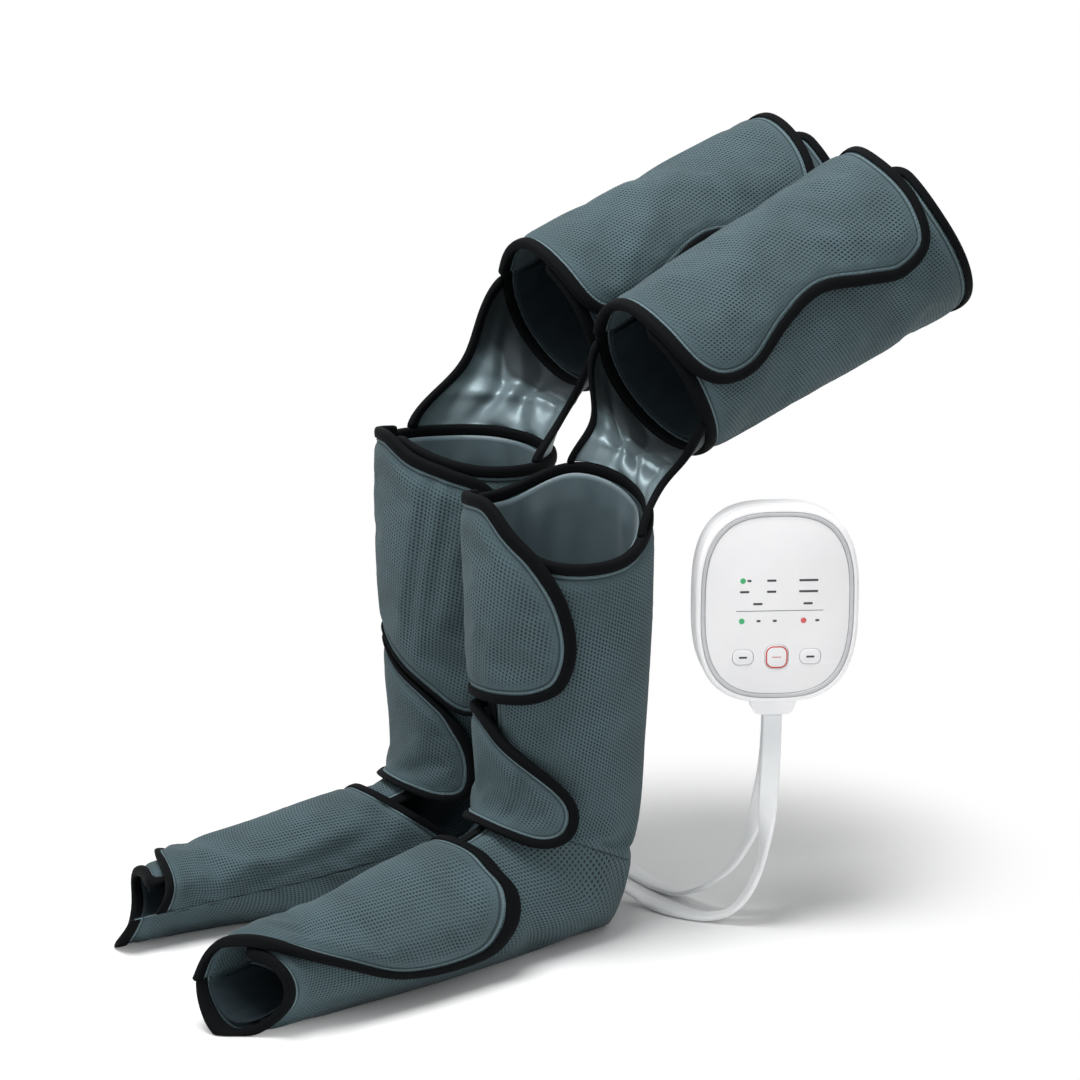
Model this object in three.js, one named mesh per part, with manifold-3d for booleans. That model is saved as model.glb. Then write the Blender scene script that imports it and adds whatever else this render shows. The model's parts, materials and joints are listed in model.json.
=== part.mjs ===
// Air compression leg massager: two full-leg padded wraps (foot, calf and thigh) in their worn
// shape, closed by wrap-over flaps, and a handset that feeds them air through two flat hoses.
// Millimetres, +Z up, toes towards -Y. The origin is on the floor, midway between the two legs.

import * as THREE from 'three';
import * as BufferGeometryUtils from 'three/addons/utils/BufferGeometryUtils.js';
import Module from 'manifold-3d';

const wasm = await Module();
wasm.setup();

// Driving dimensions: the worn leg

const CALF_TOP = 412;              // height of the calf tube's highest ring
const CALF_BULGE_HEIGHT = 284;     // height of the fullest calf ring
const CALF_FRONT = 65;             // shin surface ahead of the leg's upright axis
const CALF_BACK = 77;              // calf surface behind that axis
const CALF_HALF_WIDTH = 72;
const SHIN_HEIGHT = 168;           // height of the slim ring above the ankle
const SHIN_FRONT = 59;
const SHIN_BACK = 72;
const SHIN_HALF_WIDTH = 65;
const ANKLE_FRONT_HEIGHT = 116;
const ANKLE_BACK_HEIGHT = 64;
const ANKLE_HALF_WIDTH = 59;
const INSTEP_FRONT = 88;
const INSTEP_HEIGHT = 100;
const HEEL_REACH = 40;             // where the heel meets the floor, behind the axis
const INSTEP_HALF_WIDTH = 54;
const MIDFOOT_TOP = 165;           // how far ahead of the axis the midfoot's top ring point lies
const MIDFOOT_SOLE = 70;
const MIDFOOT_HEIGHT = 85;
const MIDFOOT_HALF_WIDTH = 49;
const BALL_TOP = 252;
const BALL_SOLE = 205;
const BALL_HEIGHT = 70;
const BALL_HALF_WIDTH = 46;
const TOE_TOP = 308;
const TOE_SOLE = 330;
const TOE_HEIGHT = 62;
const TOE_HALF_WIDTH = 48;
const TOE_PINCH = 0.6;             // how far the empty toe end draws in towards its sole
const SOLE_DIP = 4;                // how far the soft sole is pressed flat by the floor

const THIGH_LENGTH = 285;
const THIGH_KNEE_RADIUS = 68;
const THIGH_HIP_RADIUS = 79;
const THIGH_SETBACK = 92;          // thigh cuff's knee end, behind the calf's axis

// Driving dimensions: the padded layers

const SLEEVE_THICKNESS = 7;
const CELL_THICKNESS = 3.2;
const LINING_THICKNESS = 1.5;
const FLAP_THICKNESS = 7;
const FLAP_CLEARANCE = 2.6;        // between a closed flap and the sleeve under it
const BINDING_WIDTH = 10;
const SEAM_CLEARANCE = 0.3;        // between sewn neighbours
const ROOT_CLEARANCE = 0.8;        // between a flap's root and the sleeve it is sewn to
const KNEE_PANEL_THICKNESS = 2.4;
const KNEE_PANEL_DEPTH = 3;        // how far the panel lies under the sleeve's outer face
const KNEE_PANEL_FULLNESS = 0.24;  // length of the curve's handles, as a share of the gap
const KNEE_PANEL_CLEARANCE = 1.0;  // between the panel and the rims it is sewn to

// Driving dimensions: the handset

const HANDSET_WIDTH = 131;
const HANDSET_HEIGHT = 160;
const HANDSET_SQUARENESS = 2.9;    // superellipse exponent of the outline
const HANDSET_PLACE = [175, 148, 276];
const HANDSET_TURN = 62;           // degrees round the upright, from facing the toes
const BACK_DEPTH = 25;
const FRONT_DEPTH = 13;
const CASE_WALL = 2.4;
const BACK_ROUNDING = 9;
const FRONT_ROUNDING = 3.6;
const RIM_WIDTH = 0.6;             // flat white rim outside the grey trim ring
const RING_WIDTH = 3.2;
const RING_HEIGHT = 3;
const FACE_THICKNESS = 2.4;
const PART_CLEARANCE = 0.3;
const SIDE_KEY_WIDTH = 16.5;
const SIDE_KEY_HEIGHT = 12;
const SIDE_KEY_CORNER = 4.8;
const POWER_KEY_WIDTH = 18.5;
const POWER_KEY_HEIGHT = 19;
const POWER_KEY_CORNER = 6.5;
const KEY_DEPTH = 6.6;
const KEY_PITCH = 27;
const KEY_DROP = 42;               // keys' centre line below the handset's centre
const KEY_CLEARANCE = 0.4;
const KEY_STEP = 0.8;              // how far a key stands out of the face
const KEY_TRAVEL = 1.0;
const PAD_THICKNESS = 1.2;
const PAD_MARGIN = 3;
const PAD_CORNER = 5;
const BOARD_THICKNESS = 1.6;
const BOARD_CLEARANCE = 0.5;
const PUMP_RADIUS = 9;
const PUMP_LENGTH = 46;
const VALVE_WIDTH = 44;
const VALVE_HEIGHT = 18;
const VALVE_DEPTH = 13;
const PUMP_RISE = 24;              // pump's axis above the handset's centre
const VALVE_DROP = 44;
const GLAND_WIDTH = 38;
const GLAND_TAPER = 7;             // how much narrower the gland is at the hoses
const GLAND_HEIGHT = 12.5;
const GLAND_DEPTH = 15;
const INLET_RADIUS = 5.5;
const INLET_BORE = 2.8;
const INLET_LENGTH = 12;
const INLET_DROP = 24;

// Driving dimensions: the hoses

const HOSE_WIDTH = 16;
const HOSE_THICKNESS = 4;
const HOSE_PITCH = 6.5;            // between the two hoses, one behind the other, in the gland
const HOSE_STEP = 15;              // length of one facet along a hose
const HEEL_PORT_WIDTH = 26;
const HEEL_PORT_HEIGHT = 18;
const HEEL_PORT_DEPTH = 12;
const HEEL_PORT_CORNER = 4;
const HEEL_PORT_RISE = 20;         // height of the hose's end above the floor
const HEEL_PORT_OFFSET = 8;        // towards -X from the leg's middle
const HEEL_PORT_WALL = 2;          // round the hose's end
const FLANGE_THICKNESS = 2.4;
const HOSE_LEAD = 12;              // straight length at each end of a hose

// Colours

const CLOTH = new THREE.MeshStandardMaterial({ color: 0x53666c, roughness: 0.92, metalness: 0 });
const SATIN = new THREE.MeshStandardMaterial({ color: 0x66787e, roughness: 0.45, metalness: 0 });
const TAPE = new THREE.MeshStandardMaterial({ color: 0x101416, roughness: 0.85, metalness: 0 });
const BLADDER = new THREE.MeshStandardMaterial({ color: 0x8f979a, roughness: 0.5, metalness: 0 });
const SHELL = new THREE.MeshStandardMaterial({ color: 0xf1f2f3, roughness: 0.35, metalness: 0 });
const GLOSS = new THREE.MeshStandardMaterial({ color: 0xfafafa, roughness: 0.12, metalness: 0 });
const GREY = new THREE.MeshStandardMaterial({ color: 0xc6c8ca, roughness: 0.3, metalness: 0 });
const KEY = new THREE.MeshStandardMaterial({ color: 0xf6f6f6, roughness: 0.25, metalness: 0 });
const RUBBER = new THREE.MeshStandardMaterial({ color: 0xb9bdc0, roughness: 0.8, metalness: 0 });
const BOARD = new THREE.MeshStandardMaterial({ color: 0x1f5a3a, roughness: 0.6, metalness: 0 });
const METAL = new THREE.MeshStandardMaterial({ color: 0xb4b8bb, roughness: 0.35, metalness: 0.9 });
const HOSE = new THREE.MeshStandardMaterial({ color: 0xeff0f1, roughness: 0.5, metalness: 0 });

const model = new THREE.Group();

// Curves through knots

function knotCurve(knots) {
  const slope = knots.map((knot, i) => {
    const before = knots[Math.max(i - 1, 0)];
    const after = knots[Math.min(i + 1, knots.length - 1)];
    return knot[1].map((_, k) => (after[1][k] - before[1][k]) / (after[0] - before[0]));
  });
  return (at) => {
    let i = 0;
    while (i < knots.length - 2 && at > knots[i + 1][0]) {
      i += 1;
    }
    const span = knots[i + 1][0] - knots[i][0];
    const x = (at - knots[i][0]) / span;
    return knots[i][1].map((a, k) => {
      const b = knots[i + 1][1][k];
      if (x < 0) {
        return a + slope[i][k] * x * span;
      }
      if (x > 1) {
        return b + slope[i + 1][k] * (x - 1) * span;
      }
      const rise = (3 - 2 * x) * x * x;
      const out = x * (1 - x) * (1 - x) * span;
      const arrive = x * x * (x - 1) * span;
      return a + (b - a) * rise + slope[i][k] * out + slope[i + 1][k] * arrive;
    });
  };
}

// The boot surface: rings round the leg, from the calf's top down and forward to the toes.
// Each ring has a front point, a back point and a half width, and the distance along the limb.

const CALF_RUN = CALF_TOP - CALF_BULGE_HEIGHT;
const SHIN_RUN = CALF_TOP - SHIN_HEIGHT;
const ANKLE_RUN = SHIN_RUN + 78;
const INSTEP_RUN = ANKLE_RUN + 40;
const MIDFOOT_RUN = INSTEP_RUN + 93;
const BALL_RUN = MIDFOOT_RUN + 111;
const TOE_RUN = BALL_RUN + 92;

const bootRing = (instep) => knotCurve([
  [0, [-CALF_FRONT, CALF_TOP, CALF_BACK, CALF_TOP, CALF_HALF_WIDTH]],
  [CALF_RUN, [-CALF_FRONT - 1, CALF_BULGE_HEIGHT, CALF_BACK + 1, CALF_BULGE_HEIGHT, CALF_HALF_WIDTH + 1]],
  [SHIN_RUN, [-SHIN_FRONT, SHIN_HEIGHT + 6, SHIN_BACK, SHIN_HEIGHT - 6, SHIN_HALF_WIDTH]],
  [ANKLE_RUN, [-SHIN_FRONT - 1, ANKLE_FRONT_HEIGHT * instep, SHIN_BACK - 5, ANKLE_BACK_HEIGHT, ANKLE_HALF_WIDTH]],
  [INSTEP_RUN, [-INSTEP_FRONT, INSTEP_HEIGHT * instep, HEEL_REACH, -SOLE_DIP, INSTEP_HALF_WIDTH]],
  [MIDFOOT_RUN, [-MIDFOOT_TOP, MIDFOOT_HEIGHT * instep, -MIDFOOT_SOLE, -SOLE_DIP, MIDFOOT_HALF_WIDTH]],
  [BALL_RUN, [-BALL_TOP, BALL_HEIGHT * instep, -BALL_SOLE, -SOLE_DIP, BALL_HALF_WIDTH]],
  [TOE_RUN, [-TOE_TOP, TOE_HEIGHT * instep, -TOE_SOLE, -SOLE_DIP, TOE_HALF_WIDTH]],
]);

const rad = THREE.MathUtils.degToRad;
const UPRIGHT = new THREE.Vector3(0, 0, 1);

function bootSurface(leg) {
  const turn = rad(leg.toeOut);
  const ring = bootRing(leg.instep);
  return (angle, run, lift) => {
    const [frontY, frontZ, backY, backZ, halfWidth] = ring(run);
    const pinch = TOE_PINCH * THREE.MathUtils.smoothstep(run, MIDFOOT_RUN + 40, TOE_RUN);
    const narrow = 1 - (pinch * (1 - Math.cos(rad(angle)))) / 2;
    const reach = Math.hypot(backY - frontY, backZ - frontZ) / 2;
    const grow = (reach + lift) / reach;
    const down = -Math.cos(rad(angle)) * grow;
    const soleZ = Math.max(backZ, -SOLE_DIP);
    const x = (halfWidth + lift) * Math.sin(rad(angle)) * narrow;
    const y = (frontY + backY) / 2 + ((backY - frontY) / 2) * down;
    const z = (frontZ + soleZ) / 2 + ((soleZ - frontZ) / 2) * down;
    return new THREE.Vector3(
      leg.x + x * Math.cos(turn) - y * Math.sin(turn),
      leg.y + x * Math.sin(turn) + y * Math.cos(turn),
      Math.max(z, 0),
    );
  };
}

// The thigh surface: a cone that rises backwards from the knee. Angle 0 is its top.

function thighSurface(leg) {
  const pitch = rad(leg.thighPitch);
  const along = new THREE.Vector3(0, Math.cos(pitch), Math.sin(pitch));
  const up = new THREE.Vector3(0, -Math.sin(pitch), Math.cos(pitch));
  const start = new THREE.Vector3(leg.thighX, leg.y + THIGH_SETBACK, leg.thighHeight);
  return (angle, run, lift) => {
    const share = run / THIGH_LENGTH;
    const radius = THIGH_KNEE_RADIUS + (THIGH_HIP_RADIUS - THIGH_KNEE_RADIUS) * share + lift;
    return start.clone()
      .addScaledVector(along, run)
      .addScaledVector(up, radius * Math.cos(rad(angle)))
      .add(new THREE.Vector3(radius * Math.sin(rad(angle)), 0, 0));
  };
}

// Closed solids from sheets of cloth

function closedMesh(vertices, faces) {
  let volume = 0;
  for (const [a, b, c] of faces) {
    volume += vertices[a].dot(vertices[b].clone().cross(vertices[c]));
  }
  const geometry = new THREE.BufferGeometry();
  geometry.setAttribute('position', new THREE.Float32BufferAttribute(vertices.flatMap((v) => v.toArray()), 3));
  geometry.setIndex(faces.flatMap(([a, b, c]) => (volume > 0 ? [a, b, c] : [a, c, b])));
  return geometry;
}

// A sheet on a surface: a grid of [angle, run] nodes with an inner and an outer layer.
function sheetSolid(surface, nodes, inner, outer) {
  const columns = nodes.length;
  const rows = nodes[0].length;
  const vertices = [];
  for (const lift of [inner, outer]) {
    for (const column of nodes) {
      for (const [angle, run] of column) {
        vertices.push(surface(angle, run, lift));
      }
    }
  }
  const at = (layer, i, j) => layer * columns * rows + i * rows + j;
  const faces = [];
  const quad = (a, b, c, d) => faces.push([a, b, c], [a, c, d]);
  for (let i = 0; i < columns - 1; i += 1) {
    for (let j = 0; j < rows - 1; j += 1) {
      quad(at(1, i, j), at(1, i + 1, j), at(1, i + 1, j + 1), at(1, i, j + 1));
      quad(at(0, i, j), at(0, i, j + 1), at(0, i + 1, j + 1), at(0, i + 1, j));
    }
  }
  for (let i = 0; i < columns - 1; i += 1) {
    quad(at(0, i, 0), at(0, i + 1, 0), at(1, i + 1, 0), at(1, i, 0));
    quad(at(1, i, rows - 1), at(1, i + 1, rows - 1), at(0, i + 1, rows - 1), at(0, i, rows - 1));
  }
  for (let j = 0; j < rows - 1; j += 1) {
    quad(at(1, 0, j), at(1, 0, j + 1), at(0, 0, j + 1), at(0, 0, j));
    quad(at(0, columns - 1, j), at(0, columns - 1, j + 1), at(1, columns - 1, j + 1), at(1, columns - 1, j));
  }
  return closedMesh(vertices, faces);
}

// A flap cut to a rounded outline: rings of nodes shrink from the outline to its middle.
function flapSolid(surface, outline, rings, inner, outer) {
  const count = outline.length;
  const middle = [0, 1].map((k) => outline.reduce((sum, node) => sum + node[k], 0) / count);
  const vertices = [];
  for (const lift of [inner, outer]) {
    vertices.push(surface(middle[0], middle[1], lift));
    for (let ring = 1; ring <= rings; ring += 1) {
      for (const node of outline) {
        const [angle, run] = node.map((value, k) => middle[k] + ((value - middle[k]) * ring) / rings);
        vertices.push(surface(angle, run, lift));
      }
    }
  }
  const at = (layer, ring, i) => layer * (1 + rings * count) + (ring ? 1 + (ring - 1) * count + (i % count) : 0);
  const faces = [];
  for (let i = 0; i < count; i += 1) {
    faces.push([at(1, 0, 0), at(1, 1, i), at(1, 1, i + 1)]);
    faces.push([at(0, 0, 0), at(0, 1, i + 1), at(0, 1, i)]);
    for (let ring = 1; ring < rings; ring += 1) {
      faces.push([at(1, ring, i), at(1, ring + 1, i), at(1, ring + 1, i + 1)]);
      faces.push([at(1, ring, i), at(1, ring + 1, i + 1), at(1, ring, i + 1)]);
      faces.push([at(0, ring, i), at(0, ring + 1, i + 1), at(0, ring + 1, i)]);
      faces.push([at(0, ring, i), at(0, ring, i + 1), at(0, ring + 1, i + 1)]);
    }
    faces.push([at(1, rings, i), at(0, rings, i), at(0, rings, i + 1)]);
    faces.push([at(1, rings, i), at(0, rings, i + 1), at(1, rings, i + 1)]);
  }
  return closedMesh(vertices, faces);
}

// A tape between two edge lines of [angle, run] nodes.
function tapeSolid(surface, edge, inset, inner, outer) {
  return sheetSolid(surface, [inset, edge], inner, outer);
}

// Outlines on the flat pattern

// The mean size of one degree round the limb, so that an inset is even on the cloth.
const DEGREE = { calf: rad(1) * CALF_HALF_WIDTH, foot: rad(1) * MIDFOOT_HALF_WIDTH, thigh: rad(1) * THIGH_HIP_RADIUS };

function smoothEdge(knots, count) {
  const curve = new THREE.SplineCurve(knots.map(([angle, run]) => new THREE.Vector2(angle, run)));
  return curve.getSpacedPoints(count).map((point) => [point.x, point.y]);
}

// The inset is half as wide along the slim part of an edge, where two flaps lie side by side.
function insetEdge(edge, degree, fullWidth, slim = [2, 2]) {
  return edge.map((node, i) => {
    const share = i / (edge.length - 1);
    const into = THREE.MathUtils.smoothstep(share, slim[0] - 0.08, slim[0]);
    const outOf = THREE.MathUtils.smoothstep(share, slim[1], slim[1] + 0.08);
    const width = fullWidth - (BINDING_WIDTH / 2) * (into - outOf);
    const before = edge[Math.max(i - 1, 0)];
    const after = edge[Math.min(i + 1, edge.length - 1)];
    const across = (after[0] - before[0]) * degree;
    const along = after[1] - before[1];
    const length = Math.hypot(across, along);
    if (i === 0 || i === edge.length - 1) {
      return [node[0], node[1] + Math.sign(across) * width];
    }
    return [node[0] - (along / length) * (width / degree), node[1] + (across / length) * width];
  });
}

function addMesh(name, geometry, material) {
  const mesh = new THREE.Mesh(geometry, material);
  mesh.name = name;
  model.add(mesh);
  return mesh;
}

const FLAP_ROOT_STEPS = 4;

// A flap starts at its root in the sleeve's own layer and rises over the sleeve's free edge. Its
// outline runs from the root's upper end, round the free edge, to the root's lower end.
function addFlap(name, surface, degree, closure, flap) {
  const side = Math.sign(closure.free - closure.root);
  const root = closure.root + (side * ROOT_CLEARANCE) / Math.abs(degree);
  const over = (angle, run, lift) => {
    const round = THREE.MathUtils.smoothstep(side * angle, side * root, side * closure.free - 13);
    const overSeam = flap.seam ? THREE.MathUtils.smoothstep(run, flap.seam - 50, flap.seam - 17) : 0;
    const sunk = 1 - Math.max(round, overSeam);
    return surface(angle, run, lift - sunk * (SLEEVE_THICKNESS + FLAP_CLEARANCE));
  };
  const edge = smoothEdge([[root, flap.root[0]], ...flap.edge, [root, flap.root[1]]], flap.steps);
  const cut = insetEdge(edge, degree, BINDING_WIDTH + SEAM_CLEARANCE, flap.slim);
  const first = cut[0];
  const last = cut[cut.length - 1];
  const outline = [...cut];
  for (let i = 1; i < FLAP_ROOT_STEPS; i += 1) {
    const share = i / FLAP_ROOT_STEPS;
    outline.push([last[0] + (first[0] - last[0]) * share, last[1] + (first[1] - last[1]) * share]);
  }
  const inner = FLAP_CLEARANCE;
  const outer = FLAP_CLEARANCE + FLAP_THICKNESS;
  addMesh(name, flapSolid(over, outline, flap.rings, inner, outer), CLOTH);
  const inset = insetEdge(edge, degree, BINDING_WIDTH, flap.slim);
  addMesh(`${name}_binding`, tapeSolid(over, edge, inset, inner, outer), TAPE);
}

// A sleeve wraps the limb from its free edge, under the flaps, round to the flaps' roots.
// Its lining and air cell lie inside it on the same grid, and tape binds its open edges.
function addSleeve(prefix, surface, degree, sleeve) {
  const { from, to, upper, lower, columns, shares, boundUpper, boundLower } = sleeve;
  const margin = BINDING_WIDTH + SEAM_CLEARANCE;
  const freeSide = Math.sign(to - from);
  const start = from + (freeSide * margin) / degree;
  const nodes = [];
  for (let i = 0; i <= columns; i += 1) {
    const angle = start + ((to - start) * i) / columns;
    const top = upper(angle) + (boundUpper ? margin : SEAM_CLEARANCE);
    const bottom = lower(angle) - (boundLower ? margin : SEAM_CLEARANCE);
    nodes.push(shares.map((share) => [angle, top + (bottom - top) * share]));
  }
  const cellTop = -SLEEVE_THICKNESS - SEAM_CLEARANCE;
  const cellBottom = cellTop - CELL_THICKNESS;
  const liningTop = cellBottom - SEAM_CLEARANCE;
  const shell = addMesh(`${prefix}_sleeve`, sheetSolid(surface, nodes, -SLEEVE_THICKNESS, 0), CLOTH);
  const cellNodes = nodes.slice(1, -1).map((column) => column.slice(1, -1));
  addMesh(`${prefix}_air_cell`, sheetSolid(surface, cellNodes, cellBottom, cellTop), BLADDER);
  addMesh(`${prefix}_lining`, sheetSolid(surface, nodes, liningTop - LINING_THICKNESS, liningTop), SATIN);

  const free = from + (freeSide * BINDING_WIDTH) / degree;
  const angles = nodes.map((column) => column[0][0]).slice(1);
  const upperPairs = angles.map((angle) => [[angle, upper(angle)], [angle, upper(angle) + BINDING_WIDTH]]);
  const lowerPairs = angles.map((angle) => [[angle, lower(angle)], [angle, lower(angle) - BINDING_WIDTH]]);
  const topPair = boundUpper
    ? [[from, upper(from)], [free, upper(free) + BINDING_WIDTH]]
    : [[from, upper(from) + SEAM_CLEARANCE], [free, upper(free) + SEAM_CLEARANCE]];
  const bottomPair = boundLower
    ? [[from, lower(from)], [free, lower(free) - BINDING_WIDTH]]
    : [[from, lower(from) - SEAM_CLEARANCE], [free, lower(free) - SEAM_CLEARANCE]];
  const sidePairs = shares.map((share) => [0, 1].map((side) => [
    topPair[side][0],
    topPair[side][1] + (bottomPair[side][1] - topPair[side][1]) * share,
  ]));
  const pairs = [
    ...(boundUpper ? upperPairs.reverse() : []),
    ...sidePairs,
    ...(boundLower ? lowerPairs : []),
  ];
  const edgeLine = pairs.map((pair) => pair[0]);
  const insetLine = pairs.map((pair) => pair[1]);
  addMesh(`${prefix}_binding`, tapeSolid(surface, edgeLine, insetLine, -SLEEVE_THICKNESS, 0), TAPE);
  return shell;
}

// The satin panel behind the knee joins the calf's rim to the thigh cuff's rim.
function addKneePanel(name, boot, thigh, panel) {
  const steps = 10;
  const rises = 4;
  const vertices = [];
  for (const lift of [-KNEE_PANEL_DEPTH - KNEE_PANEL_THICKNESS, -KNEE_PANEL_DEPTH]) {
    for (let i = 0; i <= steps; i += 1) {
      const calfAngle = panel.calf[0] + ((panel.calf[1] - panel.calf[0]) * i) / steps;
      const thighAngle = panel.thigh[0] + ((panel.thigh[1] - panel.thigh[0]) * i) / steps;
      const calfRun = panel.calfRim(calfAngle) - KNEE_PANEL_CLEARANCE;
      const thighRun = panel.thighRim(thighAngle) - KNEE_PANEL_CLEARANCE;
      const low = boot(calfAngle, calfRun, lift);
      const high = thigh(thighAngle, thighRun, lift);
      const stretch = low.distanceTo(high) * KNEE_PANEL_FULLNESS;
      const lowHandle = boot(calfAngle, calfRun - stretch, lift);
      const highHandle = thigh(thighAngle, thighRun - stretch, lift);
      const rise = new THREE.CubicBezierCurve3(low, lowHandle, highHandle, high);
      for (let j = 0; j <= rises; j += 1) {
        vertices.push(rise.getPoint(j / rises));
      }
    }
  }
  const nodes = Array.from({ length: steps + 1 }, (_, i) => Array.from({ length: rises + 1 }, (_unused, j) => [i, j]));
  const layer = (steps + 1) * (rises + 1);
  const place = (i, j, lift) => vertices[(lift > 0 ? layer : 0) + i * (rises + 1) + j];
  addMesh(name, sheetSolid(place, nodes, 0, 1), SATIN);
}

// Joining and cutting of closed solids

function toSolid(geometry) {
  const bare = geometry.clone();
  bare.deleteAttribute('normal');
  bare.deleteAttribute('uv');
  const merged = BufferGeometryUtils.mergeVertices(bare, 1e-4);
  return new wasm.Manifold(new wasm.Mesh({
    numProp: 3,
    vertProperties: new Float32Array(merged.attributes.position.array),
    triVerts: new Uint32Array(merged.index.array),
  }));
}

function toGeometry(solid) {
  const mesh = solid.getMesh();
  const geometry = new THREE.BufferGeometry();
  geometry.setAttribute('position', new THREE.BufferAttribute(new Float32Array(mesh.vertProperties), 3));
  geometry.setIndex(new THREE.BufferAttribute(new Uint32Array(mesh.triVerts), 1));
  return geometry;
}

// Flat plates

function roundedRectangle(width, height, corner) {
  const shape = new THREE.Shape();
  const [x, y] = [width / 2, height / 2];
  shape.moveTo(x, -y + corner);
  shape.lineTo(x, y - corner);
  shape.absarc(x - corner, y - corner, corner, 0, Math.PI / 2, false);
  shape.absarc(-x + corner, y - corner, corner, Math.PI / 2, Math.PI, false);
  shape.absarc(-x + corner, -y + corner, corner, Math.PI, 1.5 * Math.PI, false);
  shape.absarc(x - corner, -y + corner, corner, 1.5 * Math.PI, 2 * Math.PI, false);
  return shape;
}

function slab(shape, bottom, top) {
  const geometry = new THREE.ExtrudeGeometry(shape, { depth: top - bottom, curveSegments: 3, bevelEnabled: false });
  return geometry.translate(0, 0, bottom);
}

// The heel port: a flange sewn on the heel and a flat socket that takes the hose. Returns the
// straight end of the hose's path.
function addHeelPort(name, leg, sleeve) {
  const turn = rad(leg.toeOut);
  const back = new THREE.Vector3(0, 1, 0).applyAxisAngle(UPRIGHT, turn);
  const behind = new THREE.Vector3(-HEEL_PORT_OFFSET, CALF_TOP, 0).applyAxisAngle(UPRIGHT, turn);
  behind.add(new THREE.Vector3(leg.x, leg.y, HEEL_PORT_RISE));
  const [{ point: seat, face }] = new THREE.Raycaster(behind, back.clone().negate()).intersectObject(sleeve);
  const side = new THREE.Vector3().crossVectors(UPRIGHT, face.normal).normalize();
  const up = new THREE.Vector3().crossVectors(face.normal, side);
  const onHeel = new THREE.Matrix4().makeBasis(side, up, face.normal).setPosition(seat);
  const plate = roundedRectangle(HEEL_PORT_WIDTH, HEEL_PORT_HEIGHT, HEEL_PORT_CORNER);
  const flange = slab(plate, SEAM_CLEARANCE, SEAM_CLEARANCE + FLANGE_THICKNESS).applyMatrix4(onHeel);
  const heel = new THREE.BoxGeometry(60, 60, 30).translate(0, 0, SEAM_CLEARANCE - 15).applyMatrix4(onHeel);
  const socketWidth = HOSE_WIDTH + 2 * HEEL_PORT_WALL;
  const socketHeight = HOSE_THICKNESS + 2 * HEEL_PORT_WALL;
  const socket = new THREE.BoxGeometry(socketWidth, 2 * HEEL_PORT_DEPTH, socketHeight);
  socket.rotateZ(turn).translate(seat.x, seat.y, seat.z);
  const gap = back.clone().multiplyScalar(SEAM_CLEARANCE);
  const cloth = sleeve.geometry.clone().translate(gap.x, gap.y, 0);
  const port = toSolid(socket).subtract(toSolid(heel)).add(toSolid(flange)).subtract(toSolid(cloth));
  addMesh(name, toGeometry(port), SHELL);
  const mouth = seat.clone().addScaledVector(back, HEEL_PORT_DEPTH + SEAM_CLEARANCE);
  return [mouth.clone().addScaledVector(back, HOSE_LEAD), mouth];
}

// The two legs

const CALF_CLOSURE = { root: -45, free: -10 };
const THIGH_CLOSURE = { root: -50, free: 24 };

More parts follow.
